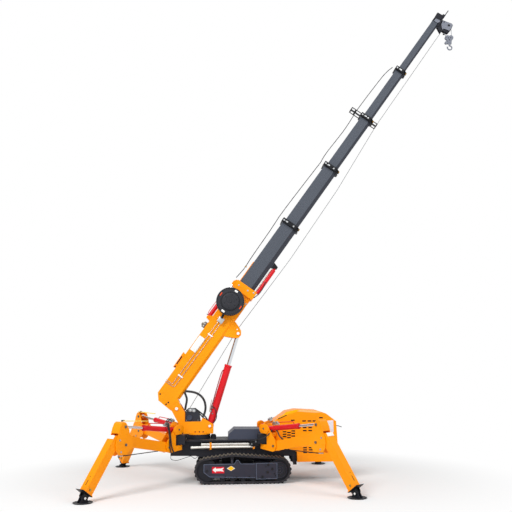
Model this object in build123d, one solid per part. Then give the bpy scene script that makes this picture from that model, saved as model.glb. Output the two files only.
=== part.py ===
from build123d import *
import math
import os

os.makedirs("parts", exist_ok=True)

# Compact tracked crane with four swing-out legs, a slewing column, a main arm,
# a knuckle and a five-section telescopic boom. Millimetres, +Z up, front of the
# machine towards -X, origin on the ground at the slewing axis.

# Shared fits
PIN_FIT = 0.05
ROD_FIT = 0.3
SEAT = 0.3
RUN = 5.0

# Tracks
TRACK_FRONT_X = 165.0
TRACK_REAR_X = 1415.0
TRACK_RADIUS = 225.0
TRACK_THICK = 30.0
LUG_HEIGHT = 14.0
LUG_LENGTH = 34.0
LUG_COUNT = 54
TRACK_WIDTH = 240.0
TRACK_Y = 400.0
HUMP_X = 600.0
HUMP_RISE = 57.0
ROLLER_RADIUS = 50.0
ROLLER_COUNT = 5
SIDE_PLATE_TOP = 337.0
SIDE_PLATE_LOW = 162.0
SIDE_PLATE_HALF = 100.0
SIDE_PLATE_THICK = 18.0
SIDE_SKIRT_LOW = 104.0
COVER_FRONT = 1015.0
COVER_THICK = 10.0
HUB_SHARE = 0.68
AXLE_RADIUS = 26.0

# Chassis
DECK_Z = 730.0
DECK_HALF = 340.0
BEAM_HALF = 250.0
BEAM_LOW = 430.0
BEAM_NOSE = [(-440.0, 625.0), (-320.0, 609.0), (-69.0, 457.0), (60.0, 430.0)]
CHASSIS_FRONT = -440.0
CANOPY_FRONT = 1365.0
CHASSIS_REAR = 1250.0
REAR_RAIL_X = 1757.0
REAR_POST_DEPTH = 84.0
REAR_POST_WIDTH = 60.0
SADDLE_Z = 640.0
TRAY_Z = 335.0
TRAY_REAR = 2390.0
TRAY_THICK = 14.0

# Outrigger swing posts
POST_FRONT_X = -375.0
POST_REAR_X = 1205.0
POST_Y = 380.0
POST_RADIUS = 70.0
POST_LOW = 660.0
POST_TOP = 837.0
KINGPIN_RADIUS = 30.0
SPREAD_ANGLE = 51.5

# Outrigger bracket, arm, leg and pad, in the leg's own plane
JAW_GAP = 5.0
BRACKET_HALF = 76.0
BRACKET_PLATE = 16.0
JAW_RADIUS = 97.0
LIFT_PIN = (255.0, 640.0)
LIFT_PIN_RADIUS = 20.0
RAM_BASE = (15.0, 915.0)
RAM_TIP = (1310.0, 1055.0)
OUT_ANGLE = 10.5
OUT_HALF_DEPTH = 81.5
OUT_HALF_WIDTH = 52.0
OUT_END = 1225.0
KNEE_INNER = 77.0
KNEE_PLATE = 14.0
LEG_PIVOT = (1293.0, 775.0)
LEG_PIN_RADIUS = 18.0
LOCK_RADIUS = 122.0
LEG_ANGLE = 54.1
LEG_AXIS_POINT = (1725.0, 505.0)
LEG_HALF = 72.0
LEG_TOP_Z = 925.0
LEG_END_Z = 139.0
FOOT_PIN_Z = 70.0
FOOT_PIN_RADIUS = 15.0
PAD_RADIUS = 150.0
PAD_THICK = 14.0
OUT_RAM = dict(barrel=44.0, rod=22.0, barrel_end=820.0, rod_start=370.0, eye=44.0, eye_half=30.0,
               pin=18.0, tip_eye=32.0, tip_half=24.0)

BARREL_FOOT = 20.0
GLAND_LENGTH = 36.0

# Slewing ring and column
RING_RADIUS = 212.0
RING_TOP = 811.0
TURN_LOW = RING_TOP + SEAT
TURN_PLATE_TOP = 846.0
SPIGOT_RADIUS = 100.0
COLUMN_INNER = 125.0
COLUMN_PLATE = 20.0
ARM_PIVOT = (-399.0, 1268.0)
ARM_PIN_RADIUS = 35.0
WINCH_SEAT = 1039.0
LUFF_BASE = (202.0, 958.0)
LUFF_RAM = dict(barrel=65.0, rod=36.0, barrel_end=1140.0, rod_start=620.0, eye=70.0, eye_half=44.0,
                pin=30.0, tip_eye=58.0, tip_half=38.0)

# Main arm, in the arm's own plane: u along it, v up from the pivot line
ARM_ANGLE = 54.5
ARM_LOW = 58.0
ARM_TOP = 452.0
ARM_HALF = 120.0
ARM_EDGE = 45.0
ARM_BOX_START = 160.0
ARM_BOX_END = 1990.0
EAR_PIN = (1754.0, -126.0)
EAR_INNER = LUFF_RAM["barrel"] + 11
EAR_PLATE = 22.0
KNUCKLE = (2240.0, 134.0)
KNUCKLE_PIN_RADIUS = 30.0
HEAD_RADIUS = 77.0
HEAD_PLATE = 26.0
REEL = (2139.0, 334.0)
REEL_RADIUS = 262.0
REEL_NEAR = -345.0
REEL_WIDTH = 105.0
KNUCKLE_BASE = (1690.0, 510.0)
KNUCKLE_TIP = (2495.0, 500.0)
KNUCKLE_RAM = dict(barrel=40.0, rod=20.0, barrel_end=560.0, rod_start=120.0, eye=36.0, eye_half=41.0,
                   pin=15.0, tip_eye=30.0, tip_half=22.0)

# Boom: height, half width, start, end and collar length of each section
BAND_START = 2410.0
BAND_END = 2580.0
BAND_HALF = 150.0
BAND_LOW = 30.0
BOOM_AXIS = 255.0
BOOM_WALL = 8.0
COLLAR_LENGTH = 92.0
FLANGE_LENGTH = 14.0
CLAMP_LENGTH = 70.0
CLAMP_THICK = 12.0
CLAMP_OVERHANG = 34.0
SECTIONS = [
    # height, half width, start u, end u
    (320.0, 120.0, BAND_END, 4090.0),
    (284.0, 104.0, 3760.0, 5525.0),
    (230.0, 84.0, 5215.0, 6830.0),
    (190.0, 68.0, 6560.0, 8120.0),
    (150.0, 52.0, 7860.0, 9575.0),
]
COLLAR_EXTRA = 20.0
FLANGE_EXTRA = 34.0
GUIDE_SECTION = 3
GUIDE_HALF = 58.0
GUIDE_PLATE = 8.0
GUIDE_LENGTH = 86.0
GUIDE_HIGH = 633.0
GUIDE_LOW = 10.0
TELE_V = 20.0
TELE_RADIUS = 40.0
TELE_LUG_U = 3209.0

# Boom head and hook block
HEAD_U = 9575.0
SHEAVE = (HEAD_U, -11.0)
SHEAVE_RADIUS = 52.0
SHEAVE_HALF = 13.0
SHEAVE_PIN_RADIUS = 14.0
HEAD_INNER = 32.0
HEAD_PLATE_THICK = 10.0
CAP_LENGTH = 115.0
ROPE_RADIUS = 5.0
BLOCK_DROP = 291.0
CHEEK_RADIUS = 52.0
CHEEK_THICK = 8.0
HOOK_RADIUS = 46.0
HOOK_BAR = 13.0

# Canopy, engine and tool box
CANOPY_HALF = 280.0
CANOPY_WALL = 8.0
BOX_FRONT = 536.0
BOX_REAR = 1101.0
BOX_TOP = 912.0
BAR_RADIUS = 27.0
BAR_Z = 628.0
STRAP_BACK = 8.0
BAR_ENDS = [(-128.0, 1010.0), (54.0, 913.0)]
STRAP_X = [223.0, 990.0]
VENT_LENGTH = 68.0
VENT_HEIGHT = 24.0


def save(node, shape):
    export_step(shape, f"parts/{node}.step")


def prism(points, y0, y1):
    face = make_face(Polyline(*[(x, y0, z) for x, z in points], close=True))
    return extrude(face, amount=y1 - y0, dir=(0, 1, 0))


def pair(points, inner, outer):
    return prism(points, inner, outer) + prism(points, -outer, -inner)


def block(x0, x1, y0, y1, z0, z1):
    return Box(x1 - x0, y1 - y0, z1 - z0).moved(Location(((x0 + x1) / 2, (y0 + y1) / 2, (z0 + z1) / 2)))


def pin_y(at, radius, y0, y1):
    return Cylinder(radius, y1 - y0, rotation=(90, 0, 0)).moved(Location((at[0], (y0 + y1) / 2, at[1])))


def pin_z(x, y, radius, z0, z1):
    return Cylinder(radius, z1 - z0).moved(Location((x, y, (z0 + z1) / 2)))


def pin_x(x0, x1, radius, y=0.0, z=0.0):
    return Cylinder(radius, x1 - x0, rotation=(0, 90, 0)).moved(Location(((x0 + x1) / 2, y, z)))


def along(at, angle, distance, side=0.0):
    c, s = math.cos(math.radians(angle)), math.sin(math.radians(angle))
    return (at[0] + c * distance - s * side, at[1] + s * distance + c * side)


def ram(base, tip, barrel, rod, barrel_end, rod_start, eye, eye_half, pin, tip_eye, tip_half):
    """Hydraulic cylinder between two pins: its barrel with the base eye, and its rod with the tip eye."""
    length = math.dist(base, tip)
    angle = math.degrees(math.atan2(tip[1] - base[1], tip[0] - base[0]))
    place = Location((base[0], 0, base[1]), (0, -angle, 0))
    gland = barrel_end - GLAND_LENGTH
    tube = pin_x(eye * 0.8, gland, barrel) + pin_x(gland, barrel_end, barrel + 5)
    tube += pin_y((0, 0), eye, -eye_half, eye_half)
    tube -= pin_x(eye + BARREL_FOOT, barrel_end + 1, rod + ROD_FIT)
    tube -= pin_y((0, 0), pin + PIN_FIT, -eye_half - 1, eye_half + 1)
    bar = pin_x(rod_start, length - tip_eye * 0.5, rod) + pin_y((length, 0), tip_eye, -tip_half, tip_half)
    return place * tube, place * bar


def hexagon(height, half, grow=0.0):
    """Boom outline: flat top, upright sides and a chamfered belly."""
    top = height / 2 + grow
    low = -height / 2 - grow
    side = half + grow
    belly = side * 0.40
    edge = low + (side - belly)
    return [(-side, top), (-side, edge), (-belly, low), (belly, low), (side, edge), (side, top)]


def bar_u(outline, u0, u1):
    """Bar along u from an outline in (y, v) about the boom's axis."""
    face = make_face(Polyline(*[(u0, y, v + BOOM_AXIS) for y, v in outline], close=True))
    return extrude(face, amount=u1 - u0, dir=(1, 0, 0))


# Tracks: one closed band with its lugs, sagging between a middle roller and the ends

def track_path(inset):
    """Points and headings round the track at a given inset from the band's outer face."""
    r = TRACK_RADIUS - inset
    hump = (HUMP_X, 2 * TRACK_RADIUS + HUMP_RISE - inset)
    centre_front = (TRACK_FRONT_X, TRACK_RADIUS)
    centre_rear = (TRACK_REAR_X, TRACK_RADIUS)
    lean_front = math.degrees(math.atan2(HUMP_RISE, HUMP_X - TRACK_FRONT_X))
    lean_rear = math.degrees(math.atan2(HUMP_RISE, TRACK_REAR_X - HUMP_X))
    points = [(TRACK_FRONT_X, inset), (TRACK_REAR_X, inset)]
    for k in range(1, 13):
        a = math.radians(-90 + (180 - lean_rear) * k / 12)
        points.append((centre_rear[0] + r * math.cos(a), centre_rear[1] + r * math.sin(a)))
    points.append(hump)
    for k in range(12):
        a = math.radians(90 + lean_front + (180 - lean_front) * k / 12)
        points.append((centre_front[0] + r * math.cos(a), centre_front[1] + r * math.sin(a)))
    return points


INNER_FLOOR = LUG_HEIGHT + TRACK_THICK + SEAT
WHEEL_RADIUS = (TRACK_RADIUS - INNER_FLOOR) * math.cos(math.radians(7.5))
TOP_ROLLER_RADIUS = 30.0
TOP_ROLLER = (HUMP_X, 2 * TRACK_RADIUS + HUMP_RISE - LUG_HEIGHT - TRACK_THICK
              - (TOP_ROLLER_RADIUS + SEAT) / math.cos(math.atan2(HUMP_RISE, HUMP_X - TRACK_FRONT_X)))


def track_band():
    outer = track_path(LUG_HEIGHT)
    inner = track_path(LUG_HEIGHT + TRACK_THICK)
    lengths = [math.dist(outer[k], outer[(k + 1) % len(outer)]) for k in range(len(outer))]
    total = sum(lengths)
    profile = []
    starts = []
    run = 0.0
    for size in lengths:
        starts.append(run)
        run += size

    def spot(s, lift):
        s = s % total
        k = max(i for i in range(len(starts)) if starts[i] <= s + 1e-9)
        a, b = outer[k], outer[(k + 1) % len(outer)]
        t = (s - starts[k]) / lengths[k]
        nx, nz = (b[1] - a[1]) / lengths[k], -(b[0] - a[0]) / lengths[k]
        return (s, a[0] + (b[0] - a[0]) * t + nx * lift, a[1] + (b[1] - a[1]) * t + nz * lift)

    pitch = total / LUG_COUNT
    for k in range(LUG_COUNT):
        s = k * pitch + pitch * 0.25
        profile.append(spot(s, 0.0))
        profile.append(spot(s + 4, LUG_HEIGHT))
        profile.append(spot(s + LUG_LENGTH - 4, LUG_HEIGHT))
        profile.append(spot(s + LUG_LENGTH, 0.0))
    outline = [(x, z) for s, x, z in sorted(profile)]
    half = TRACK_WIDTH / 2
    return prism(outline, -half, half) - prism(inner, -half - 1, half + 1)


def roller_spots():
    first = TRACK_FRONT_X + 270
    last = TRACK_REAR_X - 270
    return [(first + (last - first) * k / (ROLLER_COUNT - 1), INNER_FLOOR + ROLLER_RADIUS) for k in range(ROLLER_COUNT)]


def track_wheels():
    reach = WHEEL_RADIUS
    half = TRACK_WIDTH / 2 - 40
    wheel = pin_y((TRACK_FRONT_X, TRACK_RADIUS), reach, -half, half)
    wheel += pin_y((TRACK_FRONT_X, TRACK_RADIUS), AXLE_RADIUS, -half - 22, half + 22)
    drive = pin_y((TRACK_REAR_X, TRACK_RADIUS), reach, -half, half)
    hub_half = SIDE_PLATE_HALF - 2
    drive += pin_y((TRACK_REAR_X, TRACK_RADIUS), reach * HUB_SHARE, -hub_half, hub_half)
    wheels = [wheel, drive]
    for spot in roller_spots():
        wheels.append(pin_y(spot, ROLLER_RADIUS, -half, half))
    wheels.append(pin_y(TOP_ROLLER, TOP_ROLLER_RADIUS, -half, half))
    return wheels


def track_frame():
    half = SIDE_PLATE_HALF
    front = TRACK_FRONT_X - 61
    rear = TRACK_REAR_X - 32
    plate = [(front, SIDE_PLATE_TOP), (front, SIDE_PLATE_LOW + 55), (front + 60, SIDE_PLATE_LOW),
             (rear, SIDE_PLATE_LOW + 8), (rear, SIDE_PLATE_TOP)]
    lug = [(HUMP_X + 50, SIDE_PLATE_TOP - 2), (HUMP_X + 86, SIDE_PLATE_TOP + 52), (HUMP_X + 102, SIDE_PLATE_TOP + 52),
           (HUMP_X + 138, SIDE_PLATE_TOP - 2)]
    frame = prism(plate, -half, half) + prism(lug, -half, half)
    skirt = [(front, SIDE_PLATE_LOW + 40), (front + 109, SIDE_SKIRT_LOW + 8), (rear - 350, SIDE_SKIRT_LOW - 6),
             (rear, SIDE_SKIRT_LOW - 10), (rear, SIDE_PLATE_LOW + 20)]
    frame += pair(skirt, half - SIDE_PLATE_THICK, half)
    frame += block(HUMP_X - 20, HUMP_X + 20, -half + 20, half - 20, SIDE_PLATE_TOP - 5, TOP_ROLLER[1])
    frame -= pin_y(TOP_ROLLER, TOP_ROLLER_RADIUS + SEAT, -half - 20, half + 20)
    slot = TRACK_WIDTH / 2 - 40 + SEAT
    for x in (TRACK_FRONT_X, TRACK_REAR_X):
        frame -= pin_y((x, TRACK_RADIUS), WHEEL_RADIUS + 8, -slot, slot)
    frame -= pin_y((TRACK_REAR_X, TRACK_RADIUS), WHEEL_RADIUS * HUB_SHARE + SEAT, -half - 30, half + 30)
    cover = [(COVER_FRONT, SIDE_PLATE_TOP + 14), (COVER_FRONT, SIDE_SKIRT_LOW - 4), (rear + 7, SIDE_SKIRT_LOW - 21),
             (rear + 7, SIDE_PLATE_TOP + 8)]
    frame += pair(cover, half - 1, half + COVER_THICK)
    frame -= pin_y((TRACK_FRONT_X, TRACK_RADIUS), AXLE_RADIUS + SEAT, -half - 30, half + 30)
    for x, z in roller_spots():
        hanger = block(x - 22, x + 22, -half, half, z, SIDE_PLATE_LOW + 13)
        frame += hanger - pin_y((x, z), ROLLER_RADIUS + SEAT, -slot, slot)
    return frame


band = track_band()
wheels = track_wheels()
frame = track_frame()
for name, side in [("left", -1), ("right", 1)]:
    spot = Location((0, side * TRACK_Y, 0))
    save(f"track_{name}", spot * band)
    save(f"track_wheels_{name}", Compound([spot * wheel for wheel in wheels]))
    save(f"track_frame_{name}", spot * frame)

# Chassis: deck, beam, cross member to the track frames, swing posts and rear tray

side_view = [(CHASSIS_FRONT, DECK_Z - 25), *BEAM_NOSE, (REAR_RAIL_X, BEAM_LOW), (REAR_RAIL_X, SADDLE_Z - 40),
             (CANOPY_FRONT, SADDLE_Z), (CHASSIS_REAR, SADDLE_Z), (CHASSIS_REAR, DECK_Z - 25)]
chassis = prism(side_view, -BEAM_HALF, BEAM_HALF)
chassis += block(CHASSIS_FRONT, CHASSIS_REAR, -DECK_HALF, DECK_HALF, DECK_Z - 26, DECK_Z)
chassis += block(380, COVER_FRONT - 15, -TRACK_Y + SIDE_PLATE_HALF, TRACK_Y - SIDE_PLATE_HALF, 200, 320)
chassis += block(420, COVER_FRONT - 35, -200, 200, 319, BEAM_LOW + 1)
for post_x, inward in [(POST_FRONT_X, 1), (POST_REAR_X, -1)]:
    for side in (-1, 1):
        post_y = side * POST_Y
        far_x = post_x + inward * 150
        web = block(min(post_x, far_x), max(post_x, far_x), min(post_y + side * POST_RADIUS, side * 200),
                    max(post_y + side * POST_RADIUS, side * 200), POST_LOW + 8, POST_TOP - 8)
        chassis += web + pin_z(post_x, post_y, POST_RADIUS, POST_LOW, POST_TOP)
        chassis -= pin_z(post_x, post_y, KINGPIN_RADIUS + PIN_FIT, POST_LOW - 1, POST_TOP + 1)
rear_post = [(REAR_RAIL_X - REAR_POST_DEPTH, BEAM_LOW + 1), (REAR_RAIL_X - REAR_POST_DEPTH, TRAY_Z),
             (REAR_RAIL_X - 59, TRAY_Z - 28), (REAR_RAIL_X - 59, TRAY_Z - 55), (REAR_RAIL_X, TRAY_Z - 55),
             (REAR_RAIL_X, BEAM_LOW + 1)]
chassis += pair(rear_post, BEAM_HALF - REAR_POST_WIDTH, BEAM_HALF)
chassis += block(REAR_RAIL_X - 15, REAR_RAIL_X, -BEAM_HALF, BEAM_HALF, TRAY_Z - 20, BEAM_LOW + 1)
chassis += block(REAR_RAIL_X - 15, TRAY_REAR, -CANOPY_HALF + 20, CANOPY_HALF - 20, TRAY_Z, TRAY_Z + TRAY_THICK)
chassis += pin_z(0, 0, RING_RADIUS, DECK_Z - 1, RING_TOP)
chassis -= pin_z(0, 0, SPIGOT_RADIUS + SEAT, DECK_Z + 10, RING_TOP + 1)
chassis += pin_z(268, -50, 52, DECK_Z - 1, RING_TOP - 20) + pin_z(268, -50, 40, RING_TOP - 21, RING_TOP - 2)
save("chassis", chassis)

box_view = [(BOX_FRONT, DECK_Z), (BOX_FRONT, BOX_TOP - 93), (BOX_FRONT + 107, BOX_TOP), (BOX_REAR, BOX_TOP - 6),
            (BOX_REAR, DECK_Z)]
tool_box = prism(box_view, -DECK_HALF + 20, DECK_HALF - 20)
tool_box -= block(POST_REAR_X - 152, BOX_REAR + 1, -DECK_HALF, -199, DECK_Z - 1, POST_TOP - 8 + SEAT)
tool_box -= block(POST_REAR_X - 152, BOX_REAR + 1, 199, DECK_HALF, DECK_Z - 1, POST_TOP - 8 + SEAT)
save("tool_box", tool_box)

bars = []
bar_y = -BEAM_HALF - BAR_RADIUS - STRAP_BACK
for (x0, x1), z in zip(BAR_ENDS, (BAR_Z - BAR_RADIUS, BAR_Z + BAR_RADIUS)):
    bars.append(pin_x(x0, x1, BAR_RADIUS, bar_y, z))
save("side_bars", Compound(bars))
straps = []
for x, held in zip(STRAP_X, (2, 1)):
    low = BAR_Z - 2 * BAR_RADIUS - STRAP_BACK
    high = BAR_Z + (held - 1) * 2 * BAR_RADIUS + STRAP_BACK
    strap = block(x - 16, x + 16, bar_y - BAR_RADIUS - STRAP_BACK, -BEAM_HALF, low, high)
    for z in (BAR_Z - BAR_RADIUS, BAR_Z + BAR_RADIUS)[:held]:
        strap -= pin_x(x - 20, x + 20, BAR_RADIUS + SEAT, bar_y, z)
    straps.append(strap)
save("bar_straps", Compound(straps))

PANEL_X = REAR_RAIL_X + 8
canopy_view = [(CANOPY_FRONT, SADDLE_Z + SEAT), (CANOPY_FRONT, 1029), (1385, 1057), (1593, 1203), (1771, 1237),
               (2156, 1214), (2303, 1165), (2487, 1026), (2504, 609), (2406, TRAY_Z - 8), (PANEL_X, TRAY_Z - 8),
               (PANEL_X, SADDLE_Z - 40 + SEAT), (REAR_RAIL_X, SADDLE_Z - 40 + SEAT)]
hollow_view = [(CANOPY_FRONT + CANOPY_WALL, SADDLE_Z + 10), (CANOPY_FRONT + CANOPY_WALL, 1026), (1391, 1050),
               (1596, 1194), (1771, 1228), (2154, 1205), (2299, 1157), (2478, 1021), (2495, 609),
               (2400, TRAY_Z - 9), (PANEL_X + 10, TRAY_Z - 9), (PANEL_X + 10, SADDLE_Z - 28),
               (REAR_RAIL_X, SADDLE_Z - 28)]
canopy = prism(canopy_view, -CANOPY_HALF, CANOPY_HALF)
canopy -= prism(hollow_view, -CANOPY_HALF + CANOPY_WALL, CANOPY_HALF - CANOPY_WALL)
skirt_view = [(CANOPY_FRONT + 35, SADDLE_Z + 8), (1418, 623), (REAR_RAIL_X, 507), (PANEL_X + 5, 507),
              (PANEL_X + 5, SADDLE_Z + 8)]
canopy += pair(skirt_view, CANOPY_HALF - CANOPY_WALL, CANOPY_HALF)
vents = [(1548, 851), (1547, 809), (1547, 768), (1626, 837), (1625, 793), (1625, 748), (1705, 864), (1704, 822),
         (1703, 775), (1699, 1050), (1905, 1036), (2003, 1035), (2092, 1034), (2212, 1090)]
vents += [(x, z) for x in (1912, 2012) for z in (918, 867, 570, 532, 489)]
for x, z in vents:
    canopy -= block(x - VENT_LENGTH / 2, x + VENT_LENGTH / 2, -CANOPY_HALF - 1, CANOPY_HALF + 1,
                    z - VENT_HEIGHT / 2, z + VENT_HEIGHT / 2)
canopy -= block(PANEL_X - 5, PANEL_X + 15, -CANOPY_HALF + 18, CANOPY_HALF - 18, TRAY_Z - 10, TRAY_Z + TRAY_THICK + SEAT)
save("canopy", canopy)
save("engine", block(1800, 2350, -210, 210, TRAY_Z + TRAY_THICK, 980))

# Outriggers, built in their own plane: x out from the swing post, y across, z up

LEG_DIR = -LEG_ANGLE
LEG_SLOPE = 1 / math.tan(math.radians(LEG_ANGLE))


def leg_axis(z):
    return (LEG_AXIS_POINT[0] + (LEG_AXIS_POINT[1] - z) * LEG_SLOPE, z)


FOOT_PIN = leg_axis(FOOT_PIN_Z)


def bracket():
    low = POST_LOW - JAW_GAP
    top = POST_TOP + JAW_GAP
    side = [(-60, top), (-95, 915), (-50, 995), (50, 995), (110, 965), (150, 935), (318, 735), (332, 640), (290, 562),
            (245, 548), (-95, 580), (-95, low), (100, low), (100, top)]
    part = prism(side, -BRACKET_HALF, BRACKET_HALF)
    inner = BRACKET_HALF - BRACKET_PLATE
    part -= block(165, 400, -inner, inner, 500, 800)
    part -= block(200, 400, -inner, inner, 500, 1100)
    part -= block(-120, 400, -inner, inner, top + 18, 1100)
    part -= block(-130, 0, -BRACKET_HALF - 1, BRACKET_HALF + 1, 500, 1100) - pin_z(0, 0, JAW_RADIUS, 500, 1100)
    part += pin_z(0, 0, KINGPIN_RADIUS, 565, top + 10)
    part += pin_y(LIFT_PIN, LIFT_PIN_RADIUS, -BRACKET_HALF - 8, BRACKET_HALF + 8)
    part += pin_y(RAM_BASE, OUT_RAM["pin"], -BRACKET_HALF - 8, BRACKET_HALF + 8)
    for side_y in (-1, 1):
        y0, y1 = sorted((side_y * (OUT_RAM["eye_half"] + SEAT), side_y * (inner + 1)))
        part += pin_y(RAM_BASE, OUT_RAM["pin"] + 10, y0, y1)
    return part


def outrigger_arm():
    end = (OUT_END - LIFT_PIN[0]) / math.cos(math.radians(OUT_ANGLE))
    beam = prism([along(LIFT_PIN, OUT_ANGLE, 0, -OUT_HALF_DEPTH), along(LIFT_PIN, OUT_ANGLE, end, -OUT_HALF_DEPTH),
                  along(LIFT_PIN, OUT_ANGLE, end, OUT_HALF_DEPTH), along(LIFT_PIN, OUT_ANGLE, 0, OUT_HALF_DEPTH)],
                 -OUT_HALF_WIDTH, OUT_HALF_WIDTH)
    beam += pin_y(LIFT_PIN, OUT_HALF_DEPTH, -OUT_HALF_WIDTH, OUT_HALF_WIDTH)
    beam -= pin_y(LIFT_PIN, LIFT_PIN_RADIUS + PIN_FIT, -OUT_HALF_WIDTH - 1, OUT_HALF_WIDTH + 1)
    beam += prism([along(LIFT_PIN, OUT_ANGLE, end - 90, -OUT_HALF_DEPTH), along(LIFT_PIN, OUT_ANGLE, end, -OUT_HALF_DEPTH),
                   along(LIFT_PIN, OUT_ANGLE, end, OUT_HALF_DEPTH), along(LIFT_PIN, OUT_ANGLE, end - 90, OUT_HALF_DEPTH)],
                  -KNEE_INNER - 1, KNEE_INNER + 1)
    knee = [(1140, 893), (1212, 934), (1225, 1000), (1257, 1060), (1300, 1118), (1350, 1135), (1388, 1110),
            (1425, 1040), (1447, 960), (1462, 905), (1492, 860), (1505, 780), (1490, 700), (1440, 630), (1370, 600),
            (1290, 615), (1190, 690), (1135, 722)]
    outer = KNEE_INNER + KNEE_PLATE
    beam += pair(knee, KNEE_INNER, outer)
    cover = [(1350, 1135), (1388, 1110), (1425, 1040), (1447, 960), (1433, 960), (1412, 1036), (1378, 1100),
             (1345, 1121)]
    beam += prism(cover, -KNEE_INNER - 1, KNEE_INNER + 1)
    beam += pin_y(LEG_PIVOT, LEG_PIN_RADIUS, -outer - 8, outer + 8)
    for side_y in (-1, 1):
        y0, y1 = sorted((side_y * (OUT_RAM["tip_half"] + SEAT), side_y * (outer + 8)))
        beam += pin_y(RAM_TIP, 20.0, y0, y1)
    return beam


def leg():
    top = leg_axis(LEG_TOP_Z)
    end = leg_axis(LEG_END_Z)
    box = prism([along(end, LEG_DIR, 0, -LEG_HALF), along(end, LEG_DIR, 0, LEG_HALF),
                 along(top, LEG_DIR, -LEG_HALF * 1.5, LEG_HALF), along(top, LEG_DIR, -LEG_HALF * 1.5, -LEG_HALF)],
                -LEG_HALF, LEG_HALF)
    box -= block(top[0] - 400, top[0] + 400, -200, 200, LEG_TOP_Z, LEG_TOP_Z + 400)
    ear = [(1262, 812), (1345, 900), (1420, 900), (1450, 760), (1300, 727)]
    box += prism(ear, -LEG_HALF, LEG_HALF) + pin_y(LEG_PIVOT, 48, -LEG_HALF, LEG_HALF)
    box -= pin_y(LEG_PIVOT, LEG_PIN_RADIUS + PIN_FIT, -LEG_HALF - 1, LEG_HALF + 1)
    flange = prism([along(end, LEG_DIR, 0, -80), along(end, LEG_DIR, 12, -80), along(end, LEG_DIR, 12, 80),
                    along(end, LEG_DIR, 0, 80)], -84, 84)
    lug = prism([along(end, LEG_DIR, 11, -30), along(FOOT_PIN, LEG_DIR, 0, -30), along(FOOT_PIN, LEG_DIR, 0, 30),
                 along(end, LEG_DIR, 11, 30)], -20, 20)
    lug += pin_y(FOOT_PIN, 30, -20, 20)
    lug -= pin_y(FOOT_PIN, FOOT_PIN_RADIUS + PIN_FIT, -21, 21)
    return box + flange + lug


def pad():
    x, z = FOOT_PIN
    disc = Cone(PAD_RADIUS - 12, PAD_RADIUS, PAD_THICK).moved(Location((x, 0, PAD_THICK / 2)))
    disc -= Cone(PAD_RADIUS - 26, PAD_RADIUS - 14, PAD_THICK).moved(Location((x, 0, PAD_THICK * 1.5 - 6)))
    cheek = [(x - 85, PAD_THICK - 7), (x + 85, PAD_THICK - 7), (x + 36, z + 18), (x + 20, z + 36), (x - 20, z + 36),
             (x - 36, z + 18)]
    disc += pair(cheek, 25, 37)
    disc += pin_y(FOOT_PIN, FOOT_PIN_RADIUS, -45, 45)
    return disc


out_pieces = {"bracket": bracket(), "arm": outrigger_arm(), "leg": leg(), "pad": pad()}
out_pieces["barrel"], out_pieces["rod"] = ram(RAM_BASE, RAM_TIP, **OUT_RAM)
for name, post_x, side in [("front_left", POST_FRONT_X, -1), ("front_right", POST_FRONT_X, 1),
                           ("rear_left", POST_REAR_X, -1), ("rear_right", POST_REAR_X, 1)]:
    out = -1 if post_x < 0 else 1
    spread = math.radians(SPREAD_ANGLE)
    spot = Plane(origin=(post_x, side * POST_Y, 0), x_dir=(out * math.cos(spread), side * math.sin(spread), 0),
                 z_dir=(0, 0, 1)).location
    for piece, shape in out_pieces.items():
        save(f"outrigger_{piece}_{name}", spot * shape)

# Turntable: ring half, two column plates, webs and the winch

column_view = [(-273, TURN_PLATE_TOP - 1), (-490, 1235), (-496, 1290), (-460, 1345), (-399, 1368), (-338, 1345),
               (-302, 1290), (-250, 1200), (-250, WINCH_SEAT), (40, WINCH_SEAT), (71, 1103), (265, 990),
               (266, TURN_PLATE_TOP - 1)]
column_outer = COLUMN_INNER + COLUMN_PLATE
column = pair(column_view, COLUMN_INNER, column_outer)
column += block(-273, 266, -column_outer, column_outer, TURN_PLATE_TOP - 21, TURN_PLATE_TOP)
column += pin_z(0, 0, RING_RADIUS, TURN_LOW, TURN_PLATE_TOP - 1)
column += pin_z(0, 0, SPIGOT_RADIUS, DECK_Z + 12, TURN_LOW + 1)
column += prism([(-273, TURN_PLATE_TOP - 1), (-330, 950), (-312, 955), (-252, TURN_PLATE_TOP - 1)],
                -COLUMN_INNER - 1, COLUMN_INNER + 1)
column += block(-250, 40, -COLUMN_INNER - 1, COLUMN_INNER + 1, WINCH_SEAT - 20, WINCH_SEAT)
column += pin_y(ARM_PIVOT, ARM_PIN_RADIUS, -column_outer - 12, column_outer + 12)
column += pin_y(LUFF_BASE, LUFF_RAM["pin"], -column_outer - 12, column_outer + 12)
for side in (-1, 1):
    y0, y1 = sorted((side * (LUFF_RAM["eye_half"] + SEAT), side * (COLUMN_INNER + 1)))
    column += pin_y(LUFF_BASE, LUFF_RAM["pin"] + 14, y0, y1)
save("column", column)

winch = pin_y((-110, WINCH_SEAT + 105), 62, -90, 90)
winch += pin_y((-110, WINCH_SEAT + 105), 100, -90, -78) + pin_y((-110, WINCH_SEAT + 105), 100, 78, 90)
case_view = [(-240, WINCH_SEAT), (-240, WINCH_SEAT + 190), (-200, WINCH_SEAT + 228), (-60, WINCH_SEAT + 228),
             (10, WINCH_SEAT + 150), (30, WINCH_SEAT)]
winch += pair(case_view, 90, 122)
winch += block(-240, 30, -121, 121, WINCH_SEAT, WINCH_SEAT + 4)
save("winch", winch)

# Main arm, built along u

ARM_PLACE = Plane(origin=(ARM_PIVOT[0], 0, ARM_PIVOT[1]),
                  x_dir=(math.cos(math.radians(ARM_ANGLE)), 0, math.sin(math.radians(ARM_ANGLE))),
                  z_dir=(-math.sin(math.radians(ARM_ANGLE)), 0, math.cos(math.radians(ARM_ANGLE)))).location

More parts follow.
